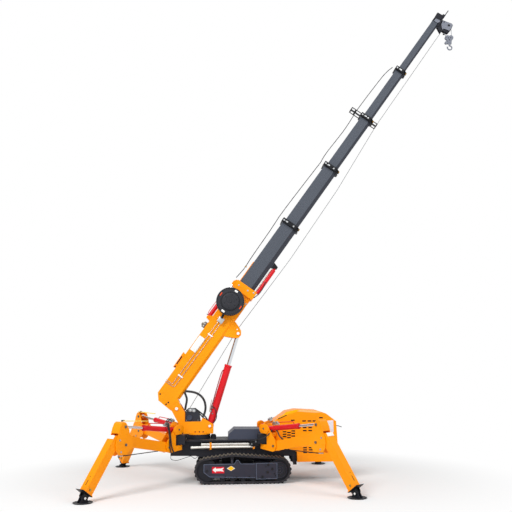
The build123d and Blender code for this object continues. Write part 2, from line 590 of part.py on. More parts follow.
arm_box = block(ARM_BOX_START, ARM_BOX_END, -ARM_HALF, ARM_HALF, ARM_LOW, ARM_TOP)
arm_box = chamfer(arm_box.edges().filter_by(Axis.X).group_by(Axis.Z)[0], ARM_EDGE)
heel = [(-89, 86), (-80, 30), (-60, -60), (0, -85), (60, -60), (110, 20), (ARM_BOX_START + 1, ARM_LOW + ARM_EDGE),
        (ARM_BOX_START + 1, ARM_TOP), (35, ARM_TOP), (-73, 358)]
arm = arm_box + prism(heel, -ARM_HALF, ARM_HALF)
arm -= prism([(KNUCKLE_BASE[0] + 22, ARM_TOP + 1), (ARM_BOX_END + 1, 300), (ARM_BOX_END + 1, ARM_TOP + 1)],
             -KNUCKLE_RAM["barrel"] - 10, KNUCKLE_RAM["barrel"] + 10)
arm -= pin_y((0, 0), ARM_PIN_RADIUS + PIN_FIT, -ARM_HALF - 1, ARM_HALF + 1)
ear_view = [(1560, 110), (1575, 40), (1633, -83), (1691, -176), (1763, -184), (1826, -143), (1858, -84), (1902, 40),
            (1902, 110)]
arm += pair(ear_view, EAR_INNER, EAR_INNER + EAR_PLATE)
for side in (-1, 1):
    y0, y1 = sorted((side * (LUFF_RAM["tip_half"] + SEAT), side * (EAR_INNER + EAR_PLATE + 12)))
    arm += pin_y(EAR_PIN, 34, y0, y1)
head_inner = ARM_HALF - HEAD_PLATE
head = [(ARM_BOX_END - 30, ARM_LOW), (KNUCKLE[0], ARM_LOW), (KNUCKLE[0] + 55, KNUCKLE[1] - 55),
        (KNUCKLE[0] + HEAD_RADIUS, KNUCKLE[1]), (KNUCKLE[0] + 60, KNUCKLE[1] + 60), (2200, 330),
        (2080, ARM_TOP), (ARM_BOX_END - 30, ARM_TOP)]
arm += pair(head, head_inner, ARM_HALF)
arm += pin_y(KNUCKLE, KNUCKLE_PIN_RADIUS, -ARM_HALF - 10, ARM_HALF + 10)
arm += pin_y(REEL, 70, REEL_NEAR + REEL_WIDTH, -ARM_HALF + 1)
save("main_arm", ARM_PLACE * arm)

lug_view = [(KNUCKLE_BASE[0] - 50, ARM_TOP), (KNUCKLE_BASE[0] - 30, KNUCKLE_BASE[1] + 30),
            (KNUCKLE_BASE[0] + 20, KNUCKLE_BASE[1] + 34), (KNUCKLE_BASE[0] + 60, ARM_TOP)]
lug_half = KNUCKLE_RAM["eye_half"] + SEAT
lug = pair(lug_view, lug_half, lug_half + 16)
lug += pin_y(KNUCKLE_BASE, KNUCKLE_RAM["pin"], -lug_half - 22, lug_half + 22)
save("knuckle_lug", ARM_PLACE * lug)

reel = pin_y(REEL, REEL_RADIUS, REEL_NEAR + 18, REEL_NEAR + 32)
reel += pin_y(REEL, REEL_RADIUS * 0.62, REEL_NEAR, REEL_NEAR + REEL_WIDTH - SEAT)
reel += pin_y(REEL, REEL_RADIUS, REEL_NEAR + REEL_WIDTH - 20, REEL_NEAR + REEL_WIDTH - SEAT)
save("hose_reel", ARM_PLACE * reel)

ear_world = along(ARM_PIVOT, ARM_ANGLE, EAR_PIN[0], EAR_PIN[1])
luff_barrel, luff_rod = ram(LUFF_BASE, ear_world, **LUFF_RAM)
save("luff_barrel", luff_barrel)
save("luff_rod", luff_rod)
knuckle_barrel, knuckle_rod = ram(KNUCKLE_BASE, KNUCKLE_TIP, **KNUCKLE_RAM)
save("knuckle_barrel", ARM_PLACE * knuckle_barrel)
save("knuckle_rod", ARM_PLACE * knuckle_rod)

# Cradle and boom sections

tongue_half = head_inner - RUN
cradle = block(BAND_START, BAND_END, -BAND_HALF, BAND_HALF, BAND_LOW, KNUCKLE_TIP[1] - 40)
cradle += prism([(KNUCKLE[0], KNUCKLE[1] - HEAD_RADIUS + 4), (BAND_START + 10, BAND_LOW + 20), (BAND_START + 10, 440),
                 (2370, 440), (KNUCKLE[0] - 60, KNUCKLE[1] + 45)], -tongue_half, tongue_half)
cradle += pin_y(KNUCKLE, HEAD_RADIUS - 4, -tongue_half, tongue_half)
cradle -= block(KNUCKLE[0] - 100, BAND_START + 60, -KNUCKLE_RAM["barrel"] - 10, KNUCKLE_RAM["barrel"] + 10, 380, 600)
cradle -= block(KNUCKLE[0] - 100, BAND_START, -KNUCKLE_RAM["barrel"] - 10, KNUCKLE_RAM["barrel"] + 10, 0, 600)
cradle -= pin_y(KNUCKLE, KNUCKLE_PIN_RADIUS + PIN_FIT, -tongue_half - 1, tongue_half + 1)
tip_half = KNUCKLE_RAM["tip_half"] + SEAT
cradle -= block(BAND_START + 59, KNUCKLE_TIP[0] + 40, -tip_half, tip_half, KNUCKLE_TIP[1] - 80, KNUCKLE_TIP[1])
cradle += pair([(BAND_START + 5, KNUCKLE_TIP[1] - 60), (KNUCKLE_TIP[0] - 30, KNUCKLE_TIP[1] + 28),
                (KNUCKLE_TIP[0] + 30, KNUCKLE_TIP[1] + 28), (BAND_END, KNUCKLE_TIP[1] - 10),
                (BAND_END, KNUCKLE_TIP[1] - 60)], tip_half, tip_half + 24)
cradle += block(BAND_END - 1, 3036, -SECTIONS[0][1] + 10, SECTIONS[0][1] - 10, BOOM_AXIS + SECTIONS[0][0] / 2,
                BOOM_AXIS + SECTIONS[0][0] / 2 + 14)
save("cradle", ARM_PLACE * cradle)



def collar(height, half, end, bore):
    """Guide collar at a section's outer end: ring, end flange and the clamp plates bolted on its sides."""
    ring = bar_u(hexagon(height, half, COLLAR_EXTRA), end - COLLAR_LENGTH, end)
    ring += bar_u(hexagon(height, half, FLANGE_EXTRA), end - FLANGE_LENGTH, end)
    ring += bar_u(hexagon(height, half, FLANGE_EXTRA), end - COLLAR_LENGTH, end - COLLAR_LENGTH + FLANGE_LENGTH)
    top = BOOM_AXIS + height / 2 + CLAMP_OVERHANG
    low = BOOM_AXIS - height / 2 + CLAMP_OVERHANG
    start = end - (COLLAR_LENGTH + CLAMP_LENGTH) / 2
    clamp = [(start, low + 20), (start, top - 16), (start + 16, top), (start + CLAMP_LENGTH - 16, top),
             (start + CLAMP_LENGTH, top - 16), (start + CLAMP_LENGTH, low), (start + 20, low)]
    ring += pair(clamp, half + 2, half + FLANGE_EXTRA + CLAMP_THICK)
    return ring - bore


def rope_guide(end, height):
    """Hose and rope guide standing on both sides of a collar: slotted side plates joined by end blocks."""
    start = end - (COLLAR_LENGTH + GUIDE_LENGTH) / 2
    stop = start + GUIDE_LENGTH
    top = BOOM_AXIS + height / 2 + COLLAR_EXTRA - 1
    low = BOOM_AXIS - height / 2 - COLLAR_EXTRA + 1
    guide = pair([(start, top), (start, GUIDE_HIGH), (stop, GUIDE_HIGH), (stop, top)], GUIDE_HALF - GUIDE_PLATE,
                 GUIDE_HALF)
    guide += pair([(start, GUIDE_LOW), (start, low), (stop, low), (stop, GUIDE_LOW)], GUIDE_HALF - GUIDE_PLATE,
                  GUIDE_HALF)
    for z0, z1 in [(GUIDE_HIGH - 14, GUIDE_HIGH), (GUIDE_HIGH - 104, GUIDE_HIGH - 90), (top, top + 14),
                   (low - 14, low), (GUIDE_LOW, GUIDE_LOW + 14)]:
        guide += block(start, stop, -GUIDE_HALF, GUIDE_HALF, z0, z1)
    for z0, z1 in [(GUIDE_HIGH - 84, GUIDE_HIGH - 20), (top + 24, GUIDE_HIGH - 110), (GUIDE_LOW + 22, low - 20)]:
        guide -= block(start + 16, stop - 16, -GUIDE_HALF - 1, GUIDE_HALF + 1, z0, z1)
    gap = GUIDE_HALF - GUIDE_PLATE
    guide -= block(start - 1, stop + 1, -gap / 2, gap / 2, GUIDE_HIGH - 105, GUIDE_HIGH - 89)
    guide -= block(start - 1, stop + 1, -gap / 2, gap / 2, GUIDE_LOW - 1, GUIDE_LOW + 15)
    return guide


boom = []
for k, (height, half, start, end) in enumerate(SECTIONS):
    tube = bar_u(hexagon(height, half), start, end) - bar_u(hexagon(height, half, -BOOM_WALL), start - 1, end + 1)
    if k < len(SECTIONS) - 1:
        next_height, next_half = SECTIONS[k + 1][0], SECTIONS[k + 1][1]
        bore = bar_u(hexagon(next_height, next_half, SEAT), end - COLLAR_LENGTH - 1, end + 1)
        tube += collar(height, half, end, bore)
        if k + 1 == GUIDE_SECTION:
            tube += rope_guide(end, height)
    if k > 0:
        last_height, last_half = SECTIONS[k - 1][0], SECTIONS[k - 1][1]
        tail = bar_u(hexagon(last_height, last_half, -BOOM_WALL - SEAT), start, start + 40)
        tube += tail - bar_u(hexagon(height, half, -BOOM_WALL), start - 1, start + 41)
    boom.append(tube)

lug = [(TELE_LUG_U - 60, BOOM_AXIS - SECTIONS[0][0] / 2 + 2), (TELE_LUG_U - 20, TELE_V - 36), (TELE_LUG_U + 24, TELE_V - 36),
       (TELE_LUG_U + 60, BOOM_AXIS - SECTIONS[0][0] / 2 + 2)]
boom[0] += pair(lug, 30, 44)
boom[0] += pin_y((TELE_LUG_U, TELE_V), 16, -50, 50)
tele = pin_x(BAND_END, TELE_LUG_U - 64, TELE_RADIUS, 0, TELE_V) + pin_x(TELE_LUG_U - 65, TELE_LUG_U, 26, 0, TELE_V)
tele += pin_y((TELE_LUG_U, TELE_V), 34, -30 + SEAT, 30 - SEAT)
tele -= pin_y((TELE_LUG_U, TELE_V), 16 + PIN_FIT, -30, 30)
save("boom_section_1", ARM_PLACE * boom[0])
save("boom_section_2", ARM_PLACE * boom[1])
save("boom_section_3", ARM_PLACE * boom[2])
save("boom_section_4", ARM_PLACE * boom[3])
save("extension_cylinder", ARM_PLACE * tele)

# Boom head: cap, side plates round the sheave, rope anchor and the adjusting bar on its near side

tip_height, tip_half_width = SECTIONS[-1][0], SECTIONS[-1][1]
tip_top = BOOM_AXIS + tip_height / 2
tip_low = BOOM_AXIS - tip_height / 2
head = bar_u(hexagon(tip_height, tip_half_width, 6.0), HEAD_U - CAP_LENGTH, HEAD_U)
head -= bar_u(hexagon(tip_height, tip_half_width, 0.0), HEAD_U - CAP_LENGTH - 1, HEAD_U + 1)
bracket_view = [(HEAD_U + SEAT, tip_low - 5), (HEAD_U + SEAT, tip_top + 5), (HEAD_U + 50, tip_top + 2),
                (HEAD_U + 62, tip_top + 16), (HEAD_U + 115, tip_top + 10), (HEAD_U + 122, BOOM_AXIS - 20),
                (HEAD_U + 160, BOOM_AXIS - 36), (HEAD_U + 160, BOOM_AXIS - 60), (HEAD_U + 60, tip_low - 5)]
head += pair(bracket_view, HEAD_INNER, HEAD_INNER + HEAD_PLATE_THICK)
head += block(HEAD_U + SEAT, HEAD_U + 7, -tip_half_width - 5, tip_half_width + 5, tip_low - 5, tip_top + 5)
web_view = [(HEAD_U - 245, 46), (HEAD_U - 170, tip_low - 1), (HEAD_U + 27, tip_low - 1), (HEAD_U + 77, -42),
            (HEAD_U + 58, -78), (HEAD_U - 37, -97), (HEAD_U - 133, -92), (HEAD_U - 161, -78), (HEAD_U - 177, 41)]
head += pair(web_view, HEAD_INNER - 8, HEAD_INNER)
box_view = [(HEAD_U - 152, 56), (HEAD_U - 81, 133), (HEAD_U + 27, 160), (HEAD_U + 77, -42), (HEAD_U + 58, -78),
            (HEAD_U - 37, -97), (HEAD_U - 82, 36)]
head += pair(box_view, HEAD_INNER - 1, HEAD_INNER + HEAD_PLATE_THICK)
head += block(HEAD_U - 170, HEAD_U + 27, -HEAD_INNER, HEAD_INNER, tip_low - 6, tip_low - 1)
head += pin_y(SHEAVE, SHEAVE_PIN_RADIUS, -HEAD_INNER - 20, HEAD_INNER + 20)
head += pin_y(SHEAVE, SHEAVE_RADIUS, -SHEAVE_HALF, SHEAVE_HALF)
head += pin_y((HEAD_U + 6, 114), 10, -HEAD_INNER - 20, HEAD_INNER + 20)
head += block(HEAD_U - 168, HEAD_U + 139, -66, -54, BOOM_AXIS - 90, BOOM_AXIS - 64)
head += block(HEAD_U - 100, HEAD_U - 60, -66, -HEAD_INNER, BOOM_AXIS - 88, tip_low + 4)
head += block(HEAD_U + 60, HEAD_U + 100, -66, -HEAD_INNER, BOOM_AXIS - 82, BOOM_AXIS - 66)
head += pin_x(HEAD_U + 138, HEAD_U + 269, 9, -60, BOOM_AXIS - 76)
sheave_x, sheave_z = along(ARM_PIVOT, ARM_ANGLE, SHEAVE[0], SHEAVE[1])
fall = SHEAVE_RADIUS + SEAT + ROPE_RADIUS
anchor = (-fall - 32, -130.0)
anchor_u = SHEAVE[0] + anchor[0] * math.cos(math.radians(ARM_ANGLE)) + anchor[1] * math.sin(math.radians(ARM_ANGLE))
anchor_v = SHEAVE[1] - anchor[0] * math.sin(math.radians(ARM_ANGLE)) + anchor[1] * math.cos(math.radians(ARM_ANGLE))
head += pin_y((anchor_u, anchor_v), 10, -HEAD_INNER, HEAD_INNER)
save("boom_section_5", ARM_PLACE * boom[4])
save("boom_head", ARM_PLACE * head)

# Hook block: two cheeks round a sheave, swivel, hook and the two rope falls

block_z = sheave_z - BLOCK_DROP
hook = pin_y((sheave_x, block_z), SHEAVE_RADIUS, -SHEAVE_HALF, SHEAVE_HALF)
cheek_inner = SHEAVE_HALF + 2
cheek_outer = cheek_inner + CHEEK_THICK
for x, z in [(-36, 30), (36, 30), (0, -30)]:
    for side in (-1, 1):
        y0, y1 = sorted((side * cheek_inner, side * cheek_outer))
        hook += pin_y((sheave_x + x, block_z + z), CHEEK_RADIUS, y0, y1)
hook += pin_y((sheave_x, block_z), 16, -cheek_outer - 8, cheek_outer + 8)
for x, z in [(-66, 34), (66, 34), (-40, -50), (40, -50)]:
    hook += pin_y((sheave_x + x, block_z + z), 9, -cheek_outer - 5, cheek_outer + 5)
hook += block(sheave_x - 44, sheave_x + 44, -cheek_inner - 1, cheek_inner + 1, block_z - 112, block_z - 60)
hook += pin_y((sheave_x - 70, block_z - 84), 30, -22, 22) + block(sheave_x - 72, sheave_x - 40, -14, 14, block_z - 98, block_z - 70)
hook += pin_z(sheave_x, 0, 17, block_z - 150, block_z - 111)
ring_z = block_z - 149 - HOOK_RADIUS
ring = Torus(HOOK_RADIUS, HOOK_BAR, rotation=(90, 0, 0)).moved(Location((sheave_x, 0, ring_z)))
ring -= block(sheave_x - 70, sheave_x - 12, -20, 20, ring_z + 4, ring_z + 80)
hook += ring + block(sheave_x - HOOK_RADIUS - 13, sheave_x - HOOK_RADIUS + 13, -9, 9, ring_z - 6, ring_z + 22)
hook += pin_z(sheave_x + fall, 0, ROPE_RADIUS, block_z, sheave_z)
lean = math.atan2(anchor[0] + fall, BLOCK_DROP + anchor[1])
drop = BLOCK_DROP + anchor[1] - 20
left_fall = Cylinder(ROPE_RADIUS, drop / math.cos(lean), rotation=(0, math.degrees(lean), 0))
hook += left_fall.moved(Location((sheave_x - fall + math.tan(lean) * drop / 2, 0, block_z + drop / 2)))
save("hook_block", hook)
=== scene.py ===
import math

import bpy
from mathutils import Matrix, Vector


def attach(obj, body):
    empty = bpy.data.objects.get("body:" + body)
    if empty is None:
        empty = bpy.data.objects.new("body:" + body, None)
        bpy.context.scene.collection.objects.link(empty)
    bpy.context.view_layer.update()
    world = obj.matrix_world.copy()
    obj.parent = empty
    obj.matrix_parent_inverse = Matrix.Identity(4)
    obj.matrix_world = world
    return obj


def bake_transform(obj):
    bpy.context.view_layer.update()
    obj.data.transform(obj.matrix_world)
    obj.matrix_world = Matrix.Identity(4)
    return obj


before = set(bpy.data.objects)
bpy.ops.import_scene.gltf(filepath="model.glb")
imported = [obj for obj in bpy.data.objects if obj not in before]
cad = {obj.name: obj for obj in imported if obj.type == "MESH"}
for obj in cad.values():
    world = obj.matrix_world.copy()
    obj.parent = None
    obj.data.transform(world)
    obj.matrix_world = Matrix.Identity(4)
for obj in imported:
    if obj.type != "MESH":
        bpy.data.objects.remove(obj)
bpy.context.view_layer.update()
bpy.ops.object.select_all(action="DESELECT")
scene = bpy.context.scene
scene.view_settings.view_transform = "Standard"

# The place that the photograph was taken from: eye height, on the crane's left-hand side, with the lens tipped
# up towards the raised boom and turned a little to the right.

LENS_MM = 45.0
EYE = Vector((0.3983, -12.1276, 1.8208))
PITCH = math.radians(10.716)
YAW = math.radians(-3.182)
ROLL = math.radians(-0.4385)

lens = bpy.data.cameras.new("camera")
lens.lens = LENS_MM
lens.sensor_width = 36.0
lens.clip_end = 200.0
camera = bpy.data.objects.new("camera", lens)
scene.collection.objects.link(camera)
turn = Matrix.Rotation(YAW, 4, "Z") @ Matrix.Rotation(math.pi / 2 + PITCH, 4, "X") @ Matrix.Rotation(ROLL, 4,
        "Z")
camera.matrix_world = Matrix.Translation(EYE) @ turn
scene.camera = camera

# Soft studio light: an even white surround, one large soft lamp high on the camera's left and a weaker one on
# its right, so that the boxes of the machine keep a light and a shaded side.

SURROUND = 0.55


def lamp(name, place, aim, size, power):
    """A square soft lamp at place that points at aim."""
    light = bpy.data.lights.new(name, "AREA")
    light.shape = "SQUARE"
    light.size = size
    light.energy = power
    holder = bpy.data.objects.new(name, light)
    scene.collection.objects.link(holder)
    holder.location = place
    holder.rotation_euler = (Vector(aim) - Vector(place)).to_track_quat("-Z", "Y").to_euler()


lamp("key_lamp", (-7.0, -11.0, 13.0), (1.0, 0.0, 3.0), 7.0, 1900)
lamp("fill_lamp", (11.0, -9.0, 9.0), (1.5, 0.0, 3.0), 8.0, 600)


# The floor is plain and pale. Near the crane it is matt and takes its shadow; further out it turns into the
# white of the surround, for the camera and for reflections alike. Two dark screens stand to the left and right,
# seen only in reflections, so that round rods and pins get their dark edges.


class Socket:
    """An output of a finish's nodes. Sums with it add Math nodes to that finish."""

    def __init__(self, finish, link):
        self.finish = finish
        self.link = link

    def maths(self, operation, *values):
        return self.finish.node("ShaderNodeMath", {"operation": operation}, dict(enumerate(values)))

    def __add__(self, other):
        return self.maths("ADD", self, other)

    def __radd__(self, other):
        return self.maths("ADD", other, self)

    def __sub__(self, other):
        return self.maths("SUBTRACT", self, other)

    def __rsub__(self, other):
        return self.maths("SUBTRACT", other, self)

    def __mul__(self, other):
        return self.maths("MULTIPLY", self, other)

    def rise(self, low, high):
        """0 up to low, 1 from high on, and smooth between."""
        steps = {"interpolation_type": "SMOOTHSTEP"}
        return self.finish.node("ShaderNodeMapRange", steps, {"Value": self, "From Min": low, "From Max": high})


class Finish:
    """The nodes of one paint, metal or rubber, which end in a shader."""

    def __init__(self, name, world=None):
        self.material = world or bpy.data.materials.new(name)
        self.material.use_nodes = True
        self.tree = self.material.node_tree
        self.tree.nodes.clear()
        self.place = self.node("ShaderNodeTexCoord", output="Generated" if world else "Object")

    def node(self, kind, settings=None, sockets=None, output=0):
        """Adds a node of that kind, sets it up, fills or links its sockets and returns the output named."""
        made = self.tree.nodes.new(kind)
        for key, value in (settings or {}).items():
            if key == "stops":
                for n, (where, colour) in enumerate(value):
                    stop = made.color_ramp.elements[n] if n < 2 else made.color_ramp.elements.new(where)
                    stop.position = where
                    stop.color = colour
            else:
                setattr(made, key, value)
        for key, value in (sockets or {}).items():
            if isinstance(value, Socket):
                self.tree.links.new(value.link, made.inputs[key])
            else:
                made.inputs[key].default_value = value
        return Socket(self, made.outputs[output]) if made.outputs else None

    def noise(self, scale, detail=3.0, place=None):
        """Even noise from 0 to 1, with scale in cycles to the metre."""
        sockets = {"Vector": place or self.place, "Scale": scale, "Detail": detail}
        return self.node("ShaderNodeTexNoise", None, sockets)

    def stretched(self, scale):
        """The place scaled along each axis, for a grain that runs one way."""
        return self.node("ShaderNodeMapping", None, {"Vector": self.place, "Scale": scale})

    def mix(self, factor, first, second):
        """first where factor is 0 and second where it is 1."""
        return self.node("ShaderNodeMix", {"data_type": "RGBA"}, {0: factor, 6: first, 7: second}, output=2)

    def axis(self, name):
        """One coordinate of the place, in metres."""
        return self.node("ShaderNodeSeparateXYZ", None, {0: self.place}, output=name)

    def bump(self, height, strength, distance):
        return self.node("ShaderNodeBump", None, {"Height": height, "Strength": strength, "Distance": distance})

    def surface(self, **sockets):
        """Ends the finish in a Principled shader with those sockets."""
        shader = self.node("ShaderNodeBsdfPrincipled", None, {k.replace("_", " "): v for k, v in
                sockets.items()})
        self.node("ShaderNodeOutputMaterial", None, {"Surface": shader})
        return self.material


def colour(text):
    """An sRGB colour such as FFA200 as the linear one that a shader takes."""
    parts = [int(text[n:n + 2], 16) / 255 for n in (0, 2, 4)]
    return tuple(p / 12.92 if p < 0.04045 else ((p + 0.055) / 1.055) ** 2.4 for p in parts) + (1.0,)


def seen(finish):
    """1 for a ray from the camera, a mirror or glass, and 0 for one that carries light."""
    rays = [finish.node("ShaderNodeLightPath", output=f"Is {kind} Ray") for kind in
            ("Camera", "Glossy", "Transmission")]
    return rays[0].maths("MAXIMUM", rays[0], rays[1].maths("MAXIMUM", rays[1], rays[2]))


FLOOR_HALF = 60.0
floor_finish = Finish("floor")
away = floor_finish.node("ShaderNodeVectorMath", {"operation": "DISTANCE"},
                         {0: floor_finish.place, 1: (0.8, 0.0, 0.0)}, output="Value")
pale = floor_finish.mix(floor_finish.noise(30.0), colour("EDEDED"), colour("F1F1F1"))
matt = floor_finish.node("ShaderNodeBsdfDiffuse", None, {"Color": pale})
white = floor_finish.node("ShaderNodeEmission", None, {"Color": colour("FFFFFF"), "Strength": 1.0})
fade = away.rise(2.6, 5.5) * seen(floor_finish)
spread = floor_finish.node("ShaderNodeMixShader", None, {0: fade, 1: matt, 2: white})
floor_finish.node("ShaderNodeOutputMaterial", None, {"Surface": spread})
bpy.ops.mesh.primitive_plane_add(size=2 * FLOOR_HALF)
floor = bpy.context.object
floor.name = "floor"
floor.data.materials.append(floor_finish.material)

world = bpy.data.worlds.new("surround")
world.use_nodes = True
scene.world = world
sky = Finish("surround", world)
camera_ray, glossy_ray = [sky.node("ShaderNodeLightPath", output=f"Is {kind} Ray") for kind in
                          ("Camera", "Glossy")]
screens = (0 - sky.axis("X")).rise(0.45, 0.75) * 0.85 + sky.axis("X").rise(0.45, 0.75) * 0.5
level = SURROUND + camera_ray.maths("MAXIMUM", camera_ray, glossy_ray) * (1 - SURROUND) - glossy_ray * screens
background = sky.node("ShaderNodeBackground", None, {"Color": (1.0, 1.0, 1.0, 1.0), "Strength": level})
sky.node("ShaderNodeOutputWorld", None, {"Surface": background})

# Painted steelwork. The plates are welded, blasted and sprayed in one thick coat, which levels into a faint
# orange peel, gathers a little dust on top and rubs duller in patches.


SHINE = 0.2
PEEL_DEPTH = 0.0006


def mottle(finish):
    """Soft patches with finer spots in them, which shift the shade of a coat."""
    return finish.noise(1.7, 4.0).rise(0.35, 0.75) * 0.45 + finish.noise(26.0, 4.0) * 0.18


def levelled(finish, peel):
    """The orange peel of a coat that has levelled, as a bump of that strength."""
    return finish.bump(finish.noise(420.0, 2.0) * 0.7 + finish.noise(60.0, 2.0) * 0.3, peel, PEEL_DEPTH)


def paint(name, fresh, shade, roughness, dust=0.16, peel=0.25):
    """Sprayed paint: fresh in the open, towards shade in soft patches, with dust on what faces up."""
    finish = Finish(name)
    coat = finish.mix(mottle(finish), colour(fresh), colour(shade))
    facing = finish.node("ShaderNodeNewGeometry", output="Normal")
    up = finish.node("ShaderNodeSeparateXYZ", None, {0: facing}, output="Z")
    dusty = up.rise(0.55, 1.0) * finish.noise(9.0, 6.0).rise(0.42, 0.72) * dust
    skin = finish.mix(dusty, coat, colour("B9AF9E"))
    rough = roughness + finish.noise(26.0, 4.0) * 0.12 + dusty * 0.5
    return finish.surface(Base_Color=skin, Roughness=rough, Specular_IOR_Level=SHINE,
                          Normal=levelled(finish, peel))


def cover(node, material):
    """Gives a CAD node that finish."""
    for place in range(max(1, len(cad[node].data.materials))):
        if place < len(cad[node].data.materials):
            cad[node].data.materials[place] = material
        else:
            cad[node].data.materials.append(material)


NEAR_FAR = ((-1, "near"), (1, "far"))
LEFT_RIGHT = ((-1, "left"), (1, "right"))
CORNERS = ("front_left", "front_right", "rear_left", "rear_right")
ORANGE, ORANGE_SHADE = "FF9C00", "F48A00"
orange = paint("orange_paint", ORANGE, ORANGE_SHADE, 0.34)
for node in ["column", "main_arm", "knuckle_lug", "cradle", "canopy", "bar_straps"]:
    cover(node, orange)
for corner in CORNERS:
    for part in ("bracket", "arm"):
        cover(f"outrigger_{part}_{corner}", orange)

black_frame = paint("black_frame_paint", "23242B", "1B1C22", 0.46, dust=0.2)
for node in ["chassis", "engine", "track_wheels_left", "track_wheels_right"]:
    cover(node, black_frame)
frame_blue = paint("track_frame_paint", "33333F", "2B2B37", 0.44, dust=0.14)
for side in ("left", "right"):
    cover(f"track_frame_{side}", frame_blue)
for corner in CORNERS:
    cover(f"outrigger_pad_{corner}", black_frame)
winch_grey = paint("winch_paint", "30323A", "282A31", 0.4)
cover("winch", winch_grey)
slate = paint("slate_paint", "3E4352", "373B49", 0.42)
cover("tool_box", slate)

head_grey = paint("head_grey_paint", "7C808B", "6C707B", 0.38, dust=0.08)
cover("boom_head", black_frame)
cover("hook_block", head_grey)

cylinder_red = paint("cylinder_red_paint", "D91E28", "C41A22", 0.24, dust=0.05, peel=0.12)
for node in ["luff_barrel", "knuckle_barrel", "extension_cylinder"] + [f"outrigger_barrel_{c}" for c in
        CORNERS]:
    cover(node, cylinder_red)


def metal(name, light, dark, roughness, grain, bump=0.1):
    """Bare or plated metal with a fine grain, whose scale in x, y and z is grain."""
    finish = Finish(name)
    lines = finish.noise(1.0, 3.0, finish.stretched(grain))
    patches = finish.noise(6.0, 3.0)
    tone = finish.mix(lines * 0.6 + patches * 0.4, colour(light), colour(dark))
    rough = roughness + lines * 0.08 + patches * 0.05
    return finish.surface(Base_Color=tone, Metallic=1.0, Roughness=rough,
                          Normal=finish.bump(lines, bump, 0.0004))


chrome = metal("chrome_rod", "E9EBEE", "C9CDD2", 0.08, (200.0, 200.0, 200.0), 0.03)
for node in ["luff_rod", "knuckle_rod"] + [f"outrigger_rod_{c}" for c in CORNERS]:
    cover(node, chrome)
bright_bar = metal("brushed_bar", "F4F2EC", "DCDAD4", 0.34, (4.0, 300.0, 300.0))
cover("side_bars", bright_bar)

# The tracks are moulded rubber over steel cords. The rubber is matt and near black, with dust worked into its
# pores. The lugs of the upper run that face up get a painted highlight in a light beige-grey.

rubber_finish = Finish("track_rubber")
pores = rubber_finish.noise(260.0, 4.0)
ground_dust = rubber_finish.noise(7.0, 5.0).rise(0.4, 0.7) * 0.5 + pores.rise(0.55, 0.8) * 0.2
low = 1 - rubber_finish.axis("Z").rise(0.0, 0.5)
facing_up = rubber_finish.node("ShaderNodeSeparateXYZ", None, {0: rubber_finish.node("ShaderNodeNewGeometry",
        output="Normal")}, output="Z")
# Painted highlight: lighter beige-grey on the upward faces of the upper run's lugs, where the light falls.
painted_lug_highlight = rubber_finish.axis("Z").rise(0.37, 0.42) * facing_up.rise(0.3, 0.9) * (0.4 + pores * 0.5)
skin = rubber_finish.mix(ground_dust * (0.35 + low * 0.4), colour("1B1A20"), colour("4A474C"))
skin = rubber_finish.mix(painted_lug_highlight, skin, colour("7C7366"))
track_rubber = rubber_finish.surface(Base_Color=skin, Roughness=0.78 + pores * 0.15,
                                     Normal=rubber_finish.bump(pores, 0.4, 0.0015))
for side in ("left", "right"):
    cover(f"track_{side}", track_rubber)

# Pins, bolts and their washers. The heads are zinc-plated hexagons pressed from bar; one is modelled, then
# copied to every place where a joint or a bracket is fastened, and the copies of a place are joined.

ARM_TILT = math.radians(54.5)
ARM_FOOT = Vector((-0.399, 0.0, 1.268))
zinc = metal("zinc_plate", "D4D6D6", "A2A5A8", 0.3, (90.0, 90.0, 90.0), 0.12)
black_paint = paint("black_coat", "17181B", "222327", 0.36, dust=0.1)


def on_arm(u, v, y=0.0):
    """A point of the main arm's own plane, u along it and v up from it, in millimetres."""
    along = Vector((math.cos(ARM_TILT), 0.0, math.sin(ARM_TILT)))
    across = Vector((-math.sin(ARM_TILT), 0.0, math.cos(ARM_TILT)))
    return ARM_FOOT + along * (u / 1000) + across * (v / 1000) + Vector((0.0, y / 1000, 0.0))


def arm_row(y, points):
    """Points of the main arm's plane, each as u and v."""
    return [on_arm(u, v, y) for u, v in points]


def upright(y, points):
    """Points of the upright plane at y metres, each as x and z in millimetres."""
    return [Vector((x / 1000, y, z / 1000)) for x, z in points]


def settle(piece, name, body, material, smooth=35.0):
    """Puts a new piece's place in its mesh, names it, gives it its finish and ties it to a body."""
    bpy.ops.object.select_all(action="DESELECT")
    piece.select_set(True)
    bpy.context.view_layer.objects.active = piece
    bpy.ops.object.transform_apply(location=True, rotation=True, scale=True)
    bpy.ops.object.shade_smooth_by_angle(angle=math.radians(smooth))
    piece.name = name
    piece.data.name = name
    piece.data.materials.clear()
    piece.data.materials.append(material)
    if body:
        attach(piece, body)
    return piece


def merge(pieces):
    """Joins pieces into the first one and returns it."""
    bpy.ops.object.select_all(action="DESELECT")
    for piece in pieces:
        piece.select_set(True)
    bpy.context.view_layer.objects.active = pieces[0]
    if len(pieces) > 1:
        bpy.ops.object.join()
    return pieces[0]


def inset_ends(piece, steps, both=False):
    """Insets the end of a disc that faces up, or both ends, by each thickness and depth in turn."""
    bpy.ops.object.mode_set(mode="EDIT")
    bpy.ops.mesh.select_mode(type="FACE")
    bpy.ops.mesh.select_all(action="DESELECT")
    bpy.ops.object.mode_set(mode="OBJECT")
    for face in piece.data.polygons:
        face.select = (abs(face.normal.z) if both else face.normal.z) > 0.9
    bpy.ops.object.mode_set(mode="EDIT")
    for thickness, depth in steps:
        bpy.ops.mesh.inset(thickness=thickness, depth=depth)
    bpy.ops.object.mode_set(mode="OBJECT")


